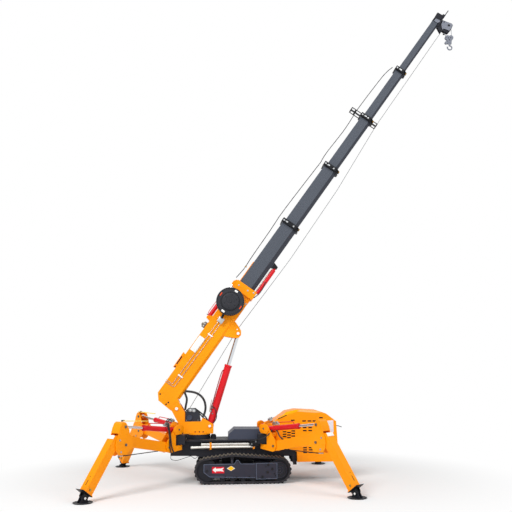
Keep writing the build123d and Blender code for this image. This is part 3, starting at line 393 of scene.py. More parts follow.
def hex_head(size):
    """A washer with a chamfered hexagon head on it, standing on z = 0, size across its corners."""
    bpy.ops.object.select_all(action="DESELECT")
    bpy.ops.mesh.primitive_cylinder_add(vertices=16, radius=size * 0.62, depth=size * 0.14,
                                        location=(0, 0, size * 0.07))
    washer = bpy.context.object
    bpy.ops.mesh.primitive_cylinder_add(vertices=6, radius=size * 0.5, depth=size * 0.36,
                                        location=(0, 0, size * 0.32))
    head = bpy.context.object
    inset_ends(head, [(size * 0.07, size * 0.05)])
    return merge([washer, head])


def round_head(size):
    """A plain pin end: a disc with a rounded rim, standing on z = 0."""
    bpy.ops.object.select_all(action="DESELECT")
    bpy.ops.mesh.primitive_cylinder_add(vertices=24, radius=size * 0.5, depth=size * 0.3,
                                        location=(0, 0, size * 0.15))
    pin = bpy.context.object
    inset_ends(pin, [(size * 0.06, size * 0.05), (size * 0.2, -size * 0.04)])
    return pin


def heads(name, body, spots, facing, size, material=None, shape=hex_head):
    """Copies one head to every spot, all facing the same way, as a single piece."""
    first = shape(size / 1000)
    turned = Vector(facing).to_track_quat("Z", "Y").to_matrix().to_4x4()
    copies = []
    for spot in spots:
        twin = first.copy()
        twin.data = first.data.copy()
        scene.collection.objects.link(twin)
        twin.matrix_world = Matrix.Translation(spot) @ turned
        copies.append(twin)
    bpy.data.objects.remove(first)
    return settle(merge(copies), name, body, material or zinc)


def plate(name, body, material, corners, thickness, rim=0.0, facing=(0, -1, 0)):
    """A flat plate: its outline as points in space, its thickness in metres towards facing, a rounded edge."""
    corners = [Vector(c) for c in corners]
    bpy.ops.object.select_all(action="DESELECT")
    bpy.ops.mesh.primitive_circle_add(vertices=len(corners), radius=1.0, fill_type="NGON")
    piece = bpy.context.object
    for vertex, corner in zip(piece.data.vertices, corners):
        vertex.co = corner
    piece.data.update()
    normal = piece.data.polygons[0].normal.copy()
    if normal.dot(Vector(facing)) < 0:
        normal.negate()
    bpy.ops.object.mode_set(mode="EDIT")
    bpy.ops.mesh.select_all(action="SELECT")
    bpy.ops.mesh.extrude_region_move(TRANSFORM_OT_translate={"value": normal * thickness})
    bpy.ops.mesh.select_all(action="SELECT")
    bpy.ops.mesh.normals_make_consistent(inside=False)
    bpy.ops.object.mode_set(mode="OBJECT")
    if rim:
        edge = piece.modifiers.new("rim", "BEVEL")
        edge.width = rim
        edge.segments = 2
        edge.limit_method = "ANGLE"
        bpy.ops.object.modifier_apply(modifier="rim")
    return settle(piece, name, body, material) if name else piece


def tube(name, body, material, points, radius):
    """A hose or pipe: a smooth line through its control points, swept by a circle of that radius."""
    line = bpy.data.curves.new(name, "CURVE")
    line.dimensions = "3D"
    line.bevel_depth = radius
    line.bevel_resolution = 3
    line.resolution_u = 6
    line.use_fill_caps = True
    spline = line.splines.new("NURBS")
    spline.points.add(len(points) - 1)
    for point, spot in zip(spline.points, points):
        point.co = (*spot, 1.0)
    spline.use_endpoint_u = True
    spline.order_u = 3 if len(points) > 2 else 2
    piece = bpy.data.objects.new(name, line)
    scene.collection.objects.link(piece)
    bpy.ops.object.select_all(action="DESELECT")
    piece.select_set(True)
    bpy.context.view_layer.objects.active = piece
    bpy.ops.object.convert(target="MESH")
    piece = bpy.context.object
    return settle(piece, name, body, material, 60.0)


# Hoses are black rubber with a woven outer layer; pipes along the arm are thin bright steel, held to it by
# pressed clamps.

hose_finish = Finish("hose_rubber")
weave = hose_finish.noise(500.0, 2.0)
hose_skin = hose_finish.mix(hose_finish.noise(14.0, 4.0), colour("141517"), colour("25262A"))
hose_rubber = hose_finish.surface(Base_Color=hose_skin, Roughness=0.5 + weave * 0.2,
                                  Normal=hose_finish.bump(weave, 0.3, 0.0006))
brass = metal("brass_fitting", "C49A3C", "94702A", 0.3, (120.0, 120.0, 120.0))

# Collars at the section ends: black clamp plates, each with two bright bolts and a long nut on both sides, and
# a brass grease fitting at the lower edge.

BOOM_AXIS = 255.0
COLLAR_HALF = 46.0
CLAMP_OUT = 46.0
COLLARS = [(1, 4090.0, 320.0, 120.0), (2, 5525.0, 284.0, 104.0), (3, 6830.0, 230.0, 84.0),
           (4, 8120.0, 190.0, 68.0)]
for k, end, height, half in COLLARS:
    body = "boom_base" if k == 1 else f"boom_section_{k}"
    middle = end - COLLAR_HALF
    for side, tag in NEAR_FAR:
        face = side * (half + CLAMP_OUT)
        spots = arm_row(face, [(middle, BOOM_AXIS + height / 2 - 2), (middle, BOOM_AXIS - height / 2 + 96)])
        heads(f"collar_{k}_bolts_{tag}", body, spots, (0, side, 0), 34.0, shape=round_head)
        long_nut = [on_arm(middle + a, BOOM_AXIS + height / 2 + b, face) for a, b in
                    ((-9, -92), (9, -92), (13, -84), (13, -50), (9, -42), (-9, -42), (-13, -50), (-13, -84))]
        plate(f"collar_{k}_nut_{tag}", body, zinc, long_nut, 0.01, 0.002, (0, side, 0))
    heads(f"collar_{k}_grease", body, [on_arm(end - 30, BOOM_AXIS - height / 2 - 22, -half + 10)],
          tuple(on_arm(0, -1) - on_arm(0, 0)), 30.0, brass)

# Each boom section is one grey tube with its own black collar, so its paint turns black past the collar's inner
# face and on the clamp plates that stand off the tube. The lower facets are darkened as painted shade.

TUBES = COLLARS + [(5, 9600.0, 150.0, 54.0)]
ALONG, ACROSS = on_arm(1, 0) - on_arm(0, 0), on_arm(0, 1) - on_arm(0, 0)
for k, end, height, half in TUBES:
    finish = Finish(f"boom_paint_{k}")
    tilt = {"operation": "DOT_PRODUCT"}
    lift = finish.node("ShaderNodeVectorMath", tilt, {0: finish.place, 1: ACROSS * 1000}, output="Value")
    reach = finish.node("ShaderNodeVectorMath", tilt, {0: finish.place, 1: ALONG * 1000}, output="Value")
    u = reach - ARM_FOOT.dot(ALONG * 1000)
    v = lift - ARM_FOOT.dot(ACROSS * 1000) - BOOM_AXIS / 1000
    out = finish.axis("Y").maths("ABSOLUTE", finish.axis("Y"))
    off = v.maths("ABSOLUTE", v)
    dark = u.rise(end / 1000 - 0.0925, end / 1000 - 0.0915)
    dark = dark.maths("MAXIMUM", dark, out.rise(half / 1000 + 0.014, half / 1000 + 0.015))
    dark = dark.maths("MAXIMUM", dark, off.rise(height / 2000 + 0.014, height / 2000 + 0.015))
    # Painted shade: the tube's lower facets are mixed towards a dark grey, where less light reaches them.
    painted_underside_shade = 1 - v.rise(half * 0.6 / 1000 - height / 2000 - 0.001, half * 0.6 / 1000 - height / 2000 + 0.001)
    patches = mottle(finish)
    coat = finish.mix(patches, colour("50555E"), colour("484D56"))
    skin = finish.mix(dark, finish.mix(painted_underside_shade * 0.55, coat, colour("24242F")), colour("17181C"))
    cover(f"boom_section_{k}", finish.surface(Base_Color=skin, Roughness=0.38 + patches * 0.2,
                                              Specular_IOR_Level=SHINE, Normal=levelled(finish, 0.25)))

# The hoist rope is laid steel wire. It climbs from the winch over the pulley in the arm's ear, then runs below
# the boom through the guides to the sheave at its head. The stretches along the boom ride on the sections that
# carry them; the stretches from the winch and from the ear pulley are tied to no body.

rope_wire = metal("rope_wire", "8C8E90", "5C5E61", 0.5, (400.0, 400.0, 400.0), 0.4)
EAR_PULLEY = on_arm(1803, -67)
ROPE = 0.005
winch_rope = tube("rope_winch", None, rope_wire, [Vector((-0.222, 0.0, 1.18)), Vector((0.24, 0.0, 1.94)),
        EAR_PULLEY], ROPE)
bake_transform(winch_rope)
ear_rope = tube("rope_ear", None, rope_wire, [EAR_PULLEY, on_arm(2650, -95), on_arm(3495, -118)], ROPE)
tuple(on_arm(3495, -118))
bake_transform(ear_rope)
for name, body, first, last in [("rope_base", "boom_base", (3490, -118), (5210, -88)),
                                ("rope_section_3", "boom_section_3", (5200, -88), (6800, 22)),
                                ("rope_section_4", "boom_section_4", (6790, 22), (8060, 33)),
                                ("rope_section_5", "boom_section_5", (8050, 33), (9575, 46))]:
    middle = ((first[0] + last[0]) / 2, (first[1] + last[1]) / 2)
    tube(name, body, rope_wire, [on_arm(*first), on_arm(*middle), on_arm(*last)], ROPE)

# The hydraulic and control hoses run up the boom's upper edge, from a brass union at the reel to the guides on
# the collars.

HOSE_LINES = [("base", -76, [(2600, 520), (2760, 500), (2874, 494), (3064, 510), (3829, 518), (4050, 534)]),
              ("section_2", -58, [(4040, 534), (4219, 536), (4800, 520), (5208, 506), (5490, 496)]),
              ("section_3", -40, [(5480, 498), (5615, 522), (6023, 503), (6436, 488), (6800, 520)]),
              ("section_4", -22, [(6790, 520), (7069, 520), (7495, 508), (7926, 492), (8070, 440)])]
for stretch, y, points in HOSE_LINES:
    tube("hose_line_" + stretch.replace("section_", ""), f"boom_{stretch}", hose_rubber, arm_row(y, points),
         0.0075)
heads("hose_union", "boom_base", [on_arm(2874, 494, -76)], tuple(ALONG), 34.0, brass)

# The hose reel: a pressed black disc with a rolled rim, a raised ring and a bolted hub, two white blank plates
# and two openings through which the arm's paint shows. Its hose runs in over a bent steel elbow.

REEL_U, REEL_V, REEL_FACE = 2139.0, 334.0, -327.0
reel_black = paint("reel_coat", "2A2B30", "35363C", 0.34, dust=0.1)
cover("hose_reel", reel_black)
signal_orange = paint("signal_orange", "F2501E", "DE4114", 0.4)
white_plate = paint("white_plate", "F2F1EE", "E6E5E1", 0.35, dust=0.05, peel=0.05)


def reel_ring(radius, width, height):
    """A half-round bead pressed into the reel's disc, made by spinning its section about the hub."""
    bpy.ops.object.select_all(action="DESELECT")
    bpy.ops.mesh.primitive_torus_add(major_radius=radius, minor_radius=width, major_segments=64,
                                     minor_segments=10)
    ring = bpy.context.object
    ring.scale.z = height / width
    ring.rotation_euler.x = math.pi / 2
    ring.location = on_arm(REEL_U, REEL_V, REEL_FACE)
    return ring


settle(merge([reel_ring(0.2555, 0.0065, 0.012), reel_ring(0.236, 0.003, 0.004),
              reel_ring(0.176, 0.005, 0.008)]), "reel_rings", "main_arm", reel_black, 60.0)
bpy.ops.object.select_all(action="DESELECT")
bpy.ops.mesh.primitive_cylinder_add(vertices=48, radius=0.150, depth=0.008,
                                    location=on_arm(REEL_U, REEL_V, -349), rotation=(math.pi / 2, 0, 0))
hub = bpy.context.object
inset_ends(hub, [(0.012, 0.003), (0.055, 0.0), (0.004, -0.003)], both=True)
settle(hub, "reel_hub", "main_arm", reel_black)
around = [math.radians(20 + 60 * n) for n in range(6)]
heads("reel_hub_bolts", "main_arm", [on_arm(REEL_U + 118 * math.cos(a), REEL_V + 118 * math.sin(a), -354)
                                     for a in around], (0, -1, 0), 17.0, black_paint)
heads("reel_cap", "main_arm", [on_arm(REEL_U, REEL_V, -352)], (0, -1, 0), 52.0, reel_black, round_head)


def reel_patch(name, u, v, along, across, material, lift):
    """A small plate on the reel's disc, its long side along u."""
    corners = [on_arm(u + a * along / 2, v + b * across / 2, REEL_FACE - lift) for a, b in
               ((-1, -1), (1, -1), (1, 1), (-1, 1))]
    plate(name, "main_arm", material, corners, 0.0016, 0.0005)


reel_patch("reel_label_upper", 2355, 350, 34, 62, white_plate, 4.0)
reel_patch("reel_label_lower", 1915, 338, 36, 66, white_plate, 4.0)
reel_patch("reel_opening_upper", 2150, 553, 66, 17, signal_orange, 1.0)
reel_patch("reel_opening_lower", 2153, 114, 66, 17, signal_orange, 1.0)
tube("reel_elbow", "main_arm", black_paint, [on_arm(*point) for point in
                                             ((1955, 318, -300), (1925, 316, -262), (1872, 302, -235),
                                              (1815, 290, -190))], 0.024)
plate("reel_joint", "main_arm", zinc, arm_row(-158, [(1815, 342), (1815, 226), (1712, 226), (1712, 338)]),
      0.036, 0.004)

# Main arm: a welded steel box with two bright pipes clipped to its near side, a blank white panel, a document
# box with a black slot on its back, and the machined pins with their keepers.

bright_pipe = metal("bright_pipe", "D8C4AA", "A8927A", 0.26, (60.0, 60.0, 60.0))
EDGE, FACE, PIPE = 452.0, -120.0, -127.0
tube("arm_pipe_upper", "main_arm", bright_pipe, [on_arm(*point) for point in
        [(313, EDGE + 6, -60), (313, EDGE + 6, -118), (312, 440, PIPE), (308, 380, PIPE), (307, 335, PIPE),
        (322, 323, PIPE), (420, 323, PIPE), (900, 318, PIPE), (1461, 309, PIPE), (1720, 307, PIPE)]], 0.0075)
tube("arm_pipe_lower", "main_arm", bright_pipe, [on_arm(*point) for point in
        [(276, EDGE + 6, -60), (276, EDGE + 6, -118), (276, 440, PIPE), (277, 360, PIPE), (279, 284, PIPE),
        (300, 266, PIPE), (420, 263, PIPE), (900, 258, PIPE), (1441, 251, PIPE), (1720, 249, PIPE)]], 0.0075)
for n, (u, v) in enumerate([(507, 289), (1428, 281)]):
    plate(f"arm_pipe_clip_{n}", "main_arm", white_plate, arm_row(FACE,
            [(u - 13, v + 52), (u - 13, v - 52), (u + 13, v - 52), (u + 13, v + 52)]), 0.019, 0.004)
plate("arm_panel", "main_arm", white_plate, arm_row(FACE, [(1314, 440), (1316, 322), (1004, 322),
        (1005, 440)]), 0.0015, 0.0005)
box_outline = [(572, EDGE), (572, 492), (884, 497), (884, EDGE)]
document_box = plate("", "main_arm", orange, arm_row(-112, box_outline), 0.20, 0.004, (0, 1, 0))
lid = plate("", "main_arm", orange, arm_row(-118, [(564, 489), (564, 500), (892, 505), (892, 494)]), 0.212,
            0.003, (0, 1, 0))
settle(merge([document_box, lid]), "document_box", "main_arm", orange)
# Painted shade: thin black plates stand for the dark inside of the slot and its end.
plate("document_slot", "main_arm", black_paint, arm_row(-112, [(645, 466), (645, 487), (815, 489),
        (815, 468)]), 0.0015)
plate("document_slot_end", "main_arm", black_paint, arm_row(-112, [(574, 460), (574, 486), (606, 486),
        (606, 460)]), 0.0015)
for n, (u, v0, v1) in enumerate([(824, 322, 452), (630, 330, 452)]):
    plate(f"arm_seam_{n}", "main_arm", orange, arm_row(FACE, [(u, v0), (u, v1), (u + 8, v1), (u + 8, v0)]),
          0.004, 0.0015)
for side, tag in NEAR_FAR:
    heads(f"arm_foot_pin_{tag}", "turntable", [on_arm(0, 0, side * 157)], (0, side, 0), 56.0, white_plate,
          round_head)
    heads(f"ear_pin_{tag}", "main_arm", [on_arm(1754, -124, side * 111)], (0, side, 0), 54.0, white_plate,
          round_head)
    heads(f"arm_heel_bolts_{tag}", "main_arm", arm_row(side * 120, [(39, 400), (3, 189), (-47, 204)]),
          (0, side, 0), 24.0, black_paint)
    heads(f"knuckle_pin_{tag}", "main_arm", [on_arm(2240, 134, side * 130)], (0, side, 0), 84.0, zinc,
          round_head)
    heads(f"knuckle_keeper_{tag}", "main_arm", arm_row(side * 120, [(2190, 190), (2290, 78)]), (0, side, 0),
          22.0)
heads("ear_hole_near", "main_arm", [on_arm(1809, -66, -98)], (0, -1, 0), 24.0, white_plate, round_head)

# The valve block at the foot of the knuckle cylinder: a machined block with its fittings and a thin red pipe.

block_metal = metal("valve_metal", "8D857B", "5D564F", 0.4, (30.0, 30.0, 30.0), 0.2)
valve = plate("", "main_arm", block_metal, arm_row(-66, [(1472, 456), (1472, 522), (1560, 526), (1590, 500),
        (1590, 456)]), 0.12, 0.004, (0, 1, 0))
port = plate("", "main_arm", block_metal, arm_row(-40, [(1500, 520), (1500, 546), (1548, 546), (1548, 520)]),
             0.07, 0.004, (0, 1, 0))
settle(merge([valve, port]), "knuckle_valve", "main_arm", block_metal)
heads("knuckle_valve_ports", "main_arm", arm_row(-68, [(1500, 490), (1548, 492)]), (0, -1, 0), 26.0, zinc)
tube("knuckle_pipe", "knuckle_barrel", cylinder_red, [on_arm(*point) for point in
        [(1742, 548, -30), (1752, 566, -30), (1800, 570, -30), (2050, 566, -30), (2215, 562, -30),
        (2236, 545, -26)]], 0.006)
heads("knuckle_pipe_nut", "knuckle_barrel", [on_arm(1714, 560, -30)], tuple(ALONG), 24.0, black_paint)

# Boom base: clamp bolts of the cradle, the bright pipe of the extension cylinder and the hose that feeds it.

for side, tag in NEAR_FAR:
    heads(f"cradle_bolts_{tag}", "boom_base", arm_row(side * 150, [(2500, 390), (2512, 193), (2541, 77)]),
          (0, side, 0), 26.0)
tube("tele_pipe", "boom_base", bright_pipe, [on_arm(*point) for point in
                                             ((2600, 66, -16), (2700, 70, -16), (3000, 70, -16),
                                              (3120, 66, -16), (3140, 52, -10))], 0.005)
tube("cradle_hose", "boom_base", hose_rubber, [on_arm(*point) for point in
        ((2470, 28, -60), (2561, -12, -60), (2700, -20, -60), (2800, -2, -50), (2860, 20, -38))], 0.008)

# Column and winch: pin ends, drilled holes, the winch motor's cover and the silver unions on top of it.

pin_steel = metal("pin_steel", "8B8D8F", "5A5C5F", 0.36, (60.0, 60.0, 60.0), 0.15)
# Painted shade: black discs stand for the dark insides of the drilled holes.
heads("column_holes", "turntable", [Vector((x, -0.1455, z)) for x, z in
                                    ((-0.059, 0.859), (0.015, 0.858), (0.083, 0.857))], (0, -1, 0), 22.0,
      black_paint, round_head)
for side, tag in NEAR_FAR:
    heads(f"luff_foot_pin_{tag}", "turntable", [Vector((0.202, side * 0.158, 0.958))], (0, side, 0), 48.0,
          white_plate, round_head)
    heads(f"winch_cover_{tag}", "turntable", [Vector((-0.165, side * 0.122, 1.104))], (0, side, 0), 96.0,
          slate, round_head)
    heads(f"winch_bolts_{tag}", "turntable", [Vector((x, side * 0.122, z)) for x, z in
            ((-0.222, 1.215), (-0.218, 1.060), (-0.012, 1.060), (-0.060, 1.245), (-0.190, 1.245))],
            (0, side, 0), 20.0, pin_steel)
heads("winch_unions", "turntable", [Vector((-0.150, -0.130, 1.238)), Vector((-0.088, -0.130, 1.228))],
      (0, -1, 0), 40.0)
plate("winch_valve", "turntable", pin_steel, [Vector((x, -0.122, z)) for x, z in
      ((-0.195, 1.215), (-0.185, 1.262), (-0.085, 1.272), (-0.045, 1.235), (-0.060, 1.205))], 0.008, 0.002)

# Hoses at the arm's foot, from the winch and the slewing centre to the underside of the main arm. Thin lines
# run along the luffing cylinder, one of them in a red spiral guard.

for name, points, radius in [
        ("foot_hose_upper",
         [(-250, 1575), (-224, 1578), (-42, 1552), (85, 1452), (128, 1314), (115, 1191), (80, 1120)], 0.021),
        ("foot_hose_lower", [(-262, 1560), (-236, 1500), (-212, 1427), (-242, 1291), (-246, 1240)], 0.02)]:
    ends = upright(-0.1, points)
    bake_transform(tube(name, None, hose_rubber, ends, radius))
for name, points, radius in [
        ("winch_hose_a", [(-80, 1268), (-45, 1256), (40, 1190), (133, 1117), (160, 1060)], 0.013),
        ("winch_hose_b", [(-120, 1262), (-20, 1216), (60, 1130), (110, 1070)], 0.012)]:
    tube(name, "turntable", hose_rubber, upright(-0.112, points), radius)
guard_red = paint("spiral_guard", "A8182A", "3A0F1C", 0.5)
tube("luff_hose_guard", "luff_barrel", guard_red, upright(-0.03, ((470, 1960), (440, 1958), (405, 1892),
        (330, 1640), (254, 1367), (222, 1285), (215, 1230))), 0.009)
tube("luff_hose_thin", "luff_barrel", hose_rubber, upright(-0.072, ((222, 1300), (250, 1318), (326, 1217),
        (325, 1057), (268, 1010))), 0.008)
tube("luff_pipe", "luff_barrel", bright_pipe, upright(-0.05, ((236, 1420), (214, 1330), (200, 1260),
        (196, 1200))), 0.006)
heads("luff_fittings", "luff_barrel", [Vector((0.240, -0.06, 1.270)), Vector((0.225, -0.06, 1.215)),
                                       Vector((0.250, -0.06, 1.170))], (0, -1, 0), 26.0, pin_steel)

# Outriggers: pin ends and bolts of the knee, white cap and slot of the leg, black foot bracket and flange, and
# the cylinder's pipe, valve block and hoses. One corner's places serve all four.

SPREAD = math.radians(51.5)
SLOPE = math.radians(54.1)
POST_FRONT, POST_REAR, POST_SIDE = -0.375, 1.205, 0.38
LEG_END = (1989.9, 139.0)
LEG_FACE = 72.0
pale_yellow = paint("pale_yellow", "FFE36B", "FFD94A", 0.5)
yellow_zinc = metal("yellow_zinc", "C9B36A", "9B8747", 0.32, (90.0, 90.0, 90.0), 0.12)


def out_frame(corner):
    """The foot of an outrigger's swing post, the way that it points and the way across it."""
    out = -1 if corner.startswith("front") else 1
    side = -1 if corner.endswith("left") else 1
    ahead = Vector((out * math.cos(SPREAD), side * math.sin(SPREAD), 0.0))
    foot = Vector((POST_FRONT if out < 0 else POST_REAR, side * POST_SIDE, 0.0))
    return foot, ahead, Vector((-ahead.y, ahead.x, 0.0))


def on_out(corner, x, z, y=0.0):
    """A point of an outrigger's own plane, x out from its post and z up, in millimetres."""
    base, ahead, across = out_frame(corner)
    return base + ahead * (x / 1000) + across * (y / 1000) + Vector((0, 0, z / 1000))


def on_leg(corner, s, t, y=0.0):
    """A point of a leg, s down along it from its lower end and t out from its axis, in millimetres."""
    c, n = math.cos(SLOPE), math.sin(SLOPE)
    return on_out(corner, LEG_END[0] + c * s + n * t, LEG_END[1] - n * s + c * t, y)


def out_row(corner, y, points):
    """Points of an outrigger's plane, each as x and z."""
    return [on_out(corner, x, z, y) for x, z in points]


for corner in CORNERS:
    across = out_frame(corner)[2]
    arm, leg, pad = (f"outrigger_{part}_{corner}" for part in ("arm", "leg", "pad"))
    down = on_leg(corner, 1000, 0) - on_leg(corner, 0, 0)
    outward = on_leg(corner, 0, 1000) - on_leg(corner, 0, 0)
    for side in (-1, 1):
        tag = f"{corner}_{'a' if side < 0 else 'b'}"
        facing = tuple(across * side)
        heads(f"knee_pins_{tag}", arm, out_row(corner, side * 98, ((1310, 1055), (1293, 775))), facing, 44.0,
              pin_steel, round_head)
        heads(f"knee_bolts_{tag}", arm, out_row(corner, side * 91, ((1419, 853), (1391, 672))), facing, 27.0)
        heads(f"knee_plugs_{tag}", arm, out_row(corner, side * 91, ((1447, 752), (1378, 622))), facing, 24.0,
              orange, round_head)
        heads(f"leg_bolt_{tag}", leg, [on_out(corner, 1972, 182, side * LEG_FACE)], facing, 34.0, yellow_zinc)
        heads(f"foot_pin_{tag}", pad, [on_out(corner, 2039.9, 70, side * 53)], facing, 34.0, white_plate,
              round_head)
        heads(f"bracket_pins_{tag}", f"outrigger_bracket_{corner}", [on_out(corner, 268, 645, side * 84)],
              facing, 40.0, pin_steel, round_head)
        head_view = [(-76, 890), (-74, 975), (-40, 1000), (50, 1012), (112, 996), (168, 952), (176, 905),
                     (120, 838), (-30, 846)]
        plate(f"bracket_head_{tag}", f"outrigger_bracket_{corner}", orange,
              out_row(corner, side * 76, head_view), 0.02, 0.006, facing)
        heads(f"bracket_bolt_{tag}", f"outrigger_bracket_{corner}", [on_out(corner, 40, 925, side * 96)],
              facing, 34.0, pin_steel, round_head)
        cheek = [(18, -54), (18, 56), (70, 50), (104, 24), (116, 0), (104, -24), (70, -50)]
        plate(f"foot_cheek_{tag}", leg, black_paint, [on_leg(corner, s, t, side * 41) for s, t in cheek],
              0.009, 0.002, facing)
    plate(f"leg_flange_{corner}", leg, black_paint, [on_leg(corner, 12, t, y) for t, y in
            ((-84, -86), (134, -86), (134, 86), (-84, 86))], 0.009, 0.002, tuple(down))
    plate(f"leg_cap_{corner}", leg, white_plate, [on_leg(corner, s, LEG_FACE, y) for s, y in
          ((-926, -70), (-926, 70), (-864, 70), (-864, -70))], 0.014, 0.003, tuple(outward))
    # Painted shade: a thin black strip stands for the dark inside of the leg's slot.
    plate(f"leg_slot_{corner}", leg, black_paint, [on_leg(corner, s, LEG_FACE, y) for s, y in
            ((-172, -6), (-172, 6), (-86, 6), (-86, -6))], 0.002, 0.0005, tuple(outward))
    heads(f"leg_mark_{corner}", leg, [on_leg(corner, -226, LEG_FACE, 0)], tuple(outward), 14.0, black_paint,
          round_head)
    barrel = f"outrigger_{corner}_barrel"
    tube(f"ram_pipe_{corner}", barrel, cylinder_red, out_row(corner, 0,
            ((712, 1030), (700, 1068), (650, 1066), (400, 1048), (330, 1042))), 0.0075)
    plate(f"ram_valve_{corner}", barrel, zinc, out_row(corner, -26,
            ((190, 985), (190, 1034), (330, 1048), (330, 1000))), 0.052, 0.004, tuple(across))
    heads(f"ram_unions_{corner}", barrel, out_row(corner, 0, ((222, 1036), (286, 1043))), (0, 0, 1), 34.0)
    view = 1 if corner.startswith("front") else -1
    paths = [[(300, 1052), (338, 1010), (292, 900), (272, 727), (266, 620), (232, 545)],
             [(262, 1046), (300, 985), (258, 860), (236, 700), (204, 600), (160, 548)]]
    for n, points in enumerate(paths if view > 0 else []):
        tube(f"bracket_hose_{corner}_{n}", f"outrigger_bracket_{corner}", hose_rubber,
             [on_out(corner, x, z, view * (40 if m == 0 else 92)) for m, (x, z) in enumerate(points)], 0.0105)
    if view < 0:
        slack = out_row(corner, -30, ((300, 900), (330, 905), (352, 850), (392, 800), (440, 778), (470, 764)))
        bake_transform(tube(f"arm_hose_{corner}", None, hose_rubber, slack, 0.0115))
    lock = [on_out(corner, x, z, view * y) for x, z, y in ((520, 604, 48), (538, 608, 60), (1365, 612, 100))]
    tube(f"lock_rod_{corner}", arm, black_paint, lock, 0.0075)
    tube(f"lock_rod_end_{corner}", arm, zinc, [lock[-1], on_out(corner, 1461, 622, view * 100)], 0.009)

for corner, first, last in [("front_left", (1318, 1152), (772, 1118)),
                            ("front_right", (1399, 1150), (799, 1130))]:
    band = [on_out(corner, x, z, 20) for x, z in ((first[0], first[1]), (first[0], first[1] - 15),
            (last[0], last[1] - 12), last)]
    plate(f"strip_{corner}", f"outrigger_arm_{corner}", pale_yellow, band, 0.03, 0.002,
          tuple(out_frame(corner)[2]))
    clip = out_row(corner, 24, ((1346, 1124), (1346, 1160), (1290, 1160), (1290, 1152), (1336, 1150),
                                (1336, 1124)))
    plate(f"strip_clip_{corner}", f"outrigger_arm_{corner}", black_paint, clip, 0.022, 0.002,
          tuple(out_frame(corner)[2]))
bpy.ops.object.select_all(action="DESELECT")
bpy.ops.mesh.primitive_torus_add(major_radius=0.036, minor_radius=0.011, major_segments=32, minor_segments=12)
ring = bpy.context.object
ring.rotation_euler = out_frame("front_right")[2].to_track_quat("Z", "Y").to_euler()
ring.location = on_out("front_right", 1262, 690, 60)
settle(ring, "lifting_ring", "outrigger_arm_front_right", orange, 60.0)

# Leg paint: orange down to the flange, then black for the lug that stands inside the foot bracket.

for corner in CORNERS:
    finish = Finish(f"leg_paint_{corner}")
    down = (on_leg(corner, 1000, 0) - on_leg(corner, 0, 0)).normalized()
    reach = finish.node("ShaderNodeVectorMath", {"operation": "DOT_PRODUCT"}, {0: finish.place, 1: down},
                        output="Value")
    lug = (reach - on_leg(corner, 0, 0).dot(down)).rise(0.0125, 0.0135)
    patches = mottle(finish)
    skin = finish.mix(lug, finish.mix(patches, colour(ORANGE), colour(ORANGE_SHADE)), colour("1A1B1F"))
    cover(f"outrigger_leg_{corner}", finish.surface(Base_Color=skin, Roughness=0.34 + patches * 0.2,
                                                    Specular_IOR_Level=SHINE, Normal=levelled(finish, 0.25)))

# Canopy: a matt black lining behind its vents, a slot for the handle, painted highlights as lighter bands along
# the upper edges of its sides, a blank label and the lever behind it.

CANOPY_SIDE, LINING_SIDE = 0.28, 0.27
label_grey = paint("label_grey", "DEDAE0", "D2CED6", 0.4, dust=0.05, peel=0.05)
lining = [(1380, 660), (1380, 1020), (1404, 1044), (1600, 1186), (1771, 1220), (2150, 1198), (2292, 1150),
          (2470, 1016), (2486, 612), (2395, 345), (1775, 345), (1775, 600)]
for side, tag in NEAR_FAR:
    plate(f"canopy_lining_{tag}", "chassis", black_paint, upright(side * LINING_SIDE, lining), 0.0015, 0.0,
          (0, side, 0))
    # Painted shade: a thin black strip stands for the dark inside of the handle's slot.
    plate(f"canopy_handle_{tag}", "chassis", black_paint, upright(side * CANOPY_SIDE,
            ((1434, 1066), (1428, 1080), (1588, 1150), (1594, 1136))), 0.0015, 0.0, (0, side, 0))
    plate(f"canopy_label_{tag}", "chassis", label_grey, upright(side * CANOPY_SIDE,
            ((2306, 1037), (2435, 1043), (2436, 832), (2375, 832))), 0.0012, 0.0004, (0, side, 0))
# Painted highlights: light yellow and peach bands along the slope and roof edges of the canopy's sides.
painted_slope_highlight = paint("painted_slope_highlight", "FFB400", "FFAA00", 0.36)
painted_roof_highlight = paint("painted_roof_highlight", "FFBE78", "FFB462", 0.36)
for side, tag in NEAR_FAR:
    for name, material, view in [
            ("slope", painted_slope_highlight, ((1372, 1028), (1387, 1055), (1594, 1200), (1769, 1233), (1826, 1230),
                                    (1695, 1169), (1590, 1146), (1440, 1078))),
            ("roof", painted_roof_highlight, ((1775, 1206), (1826, 1230), (2152, 1211), (2240, 1184), (2100, 1178)))]:
        plate(f"canopy_{name}_{tag}", "chassis", material, upright(side * CANOPY_SIDE, view), 0.001, 0.0003,
              (0, side, 0))
tube("canopy_lever", "chassis", pin_steel, upright(-0.1, ((2488, 936), (2525, 936), (2563, 930), (2616, 911))),
     0.008)

# Track frames: bolts and hub rings on both sides, and the two blank signs, a red one with a plain arrow and a
# yellow diamond.

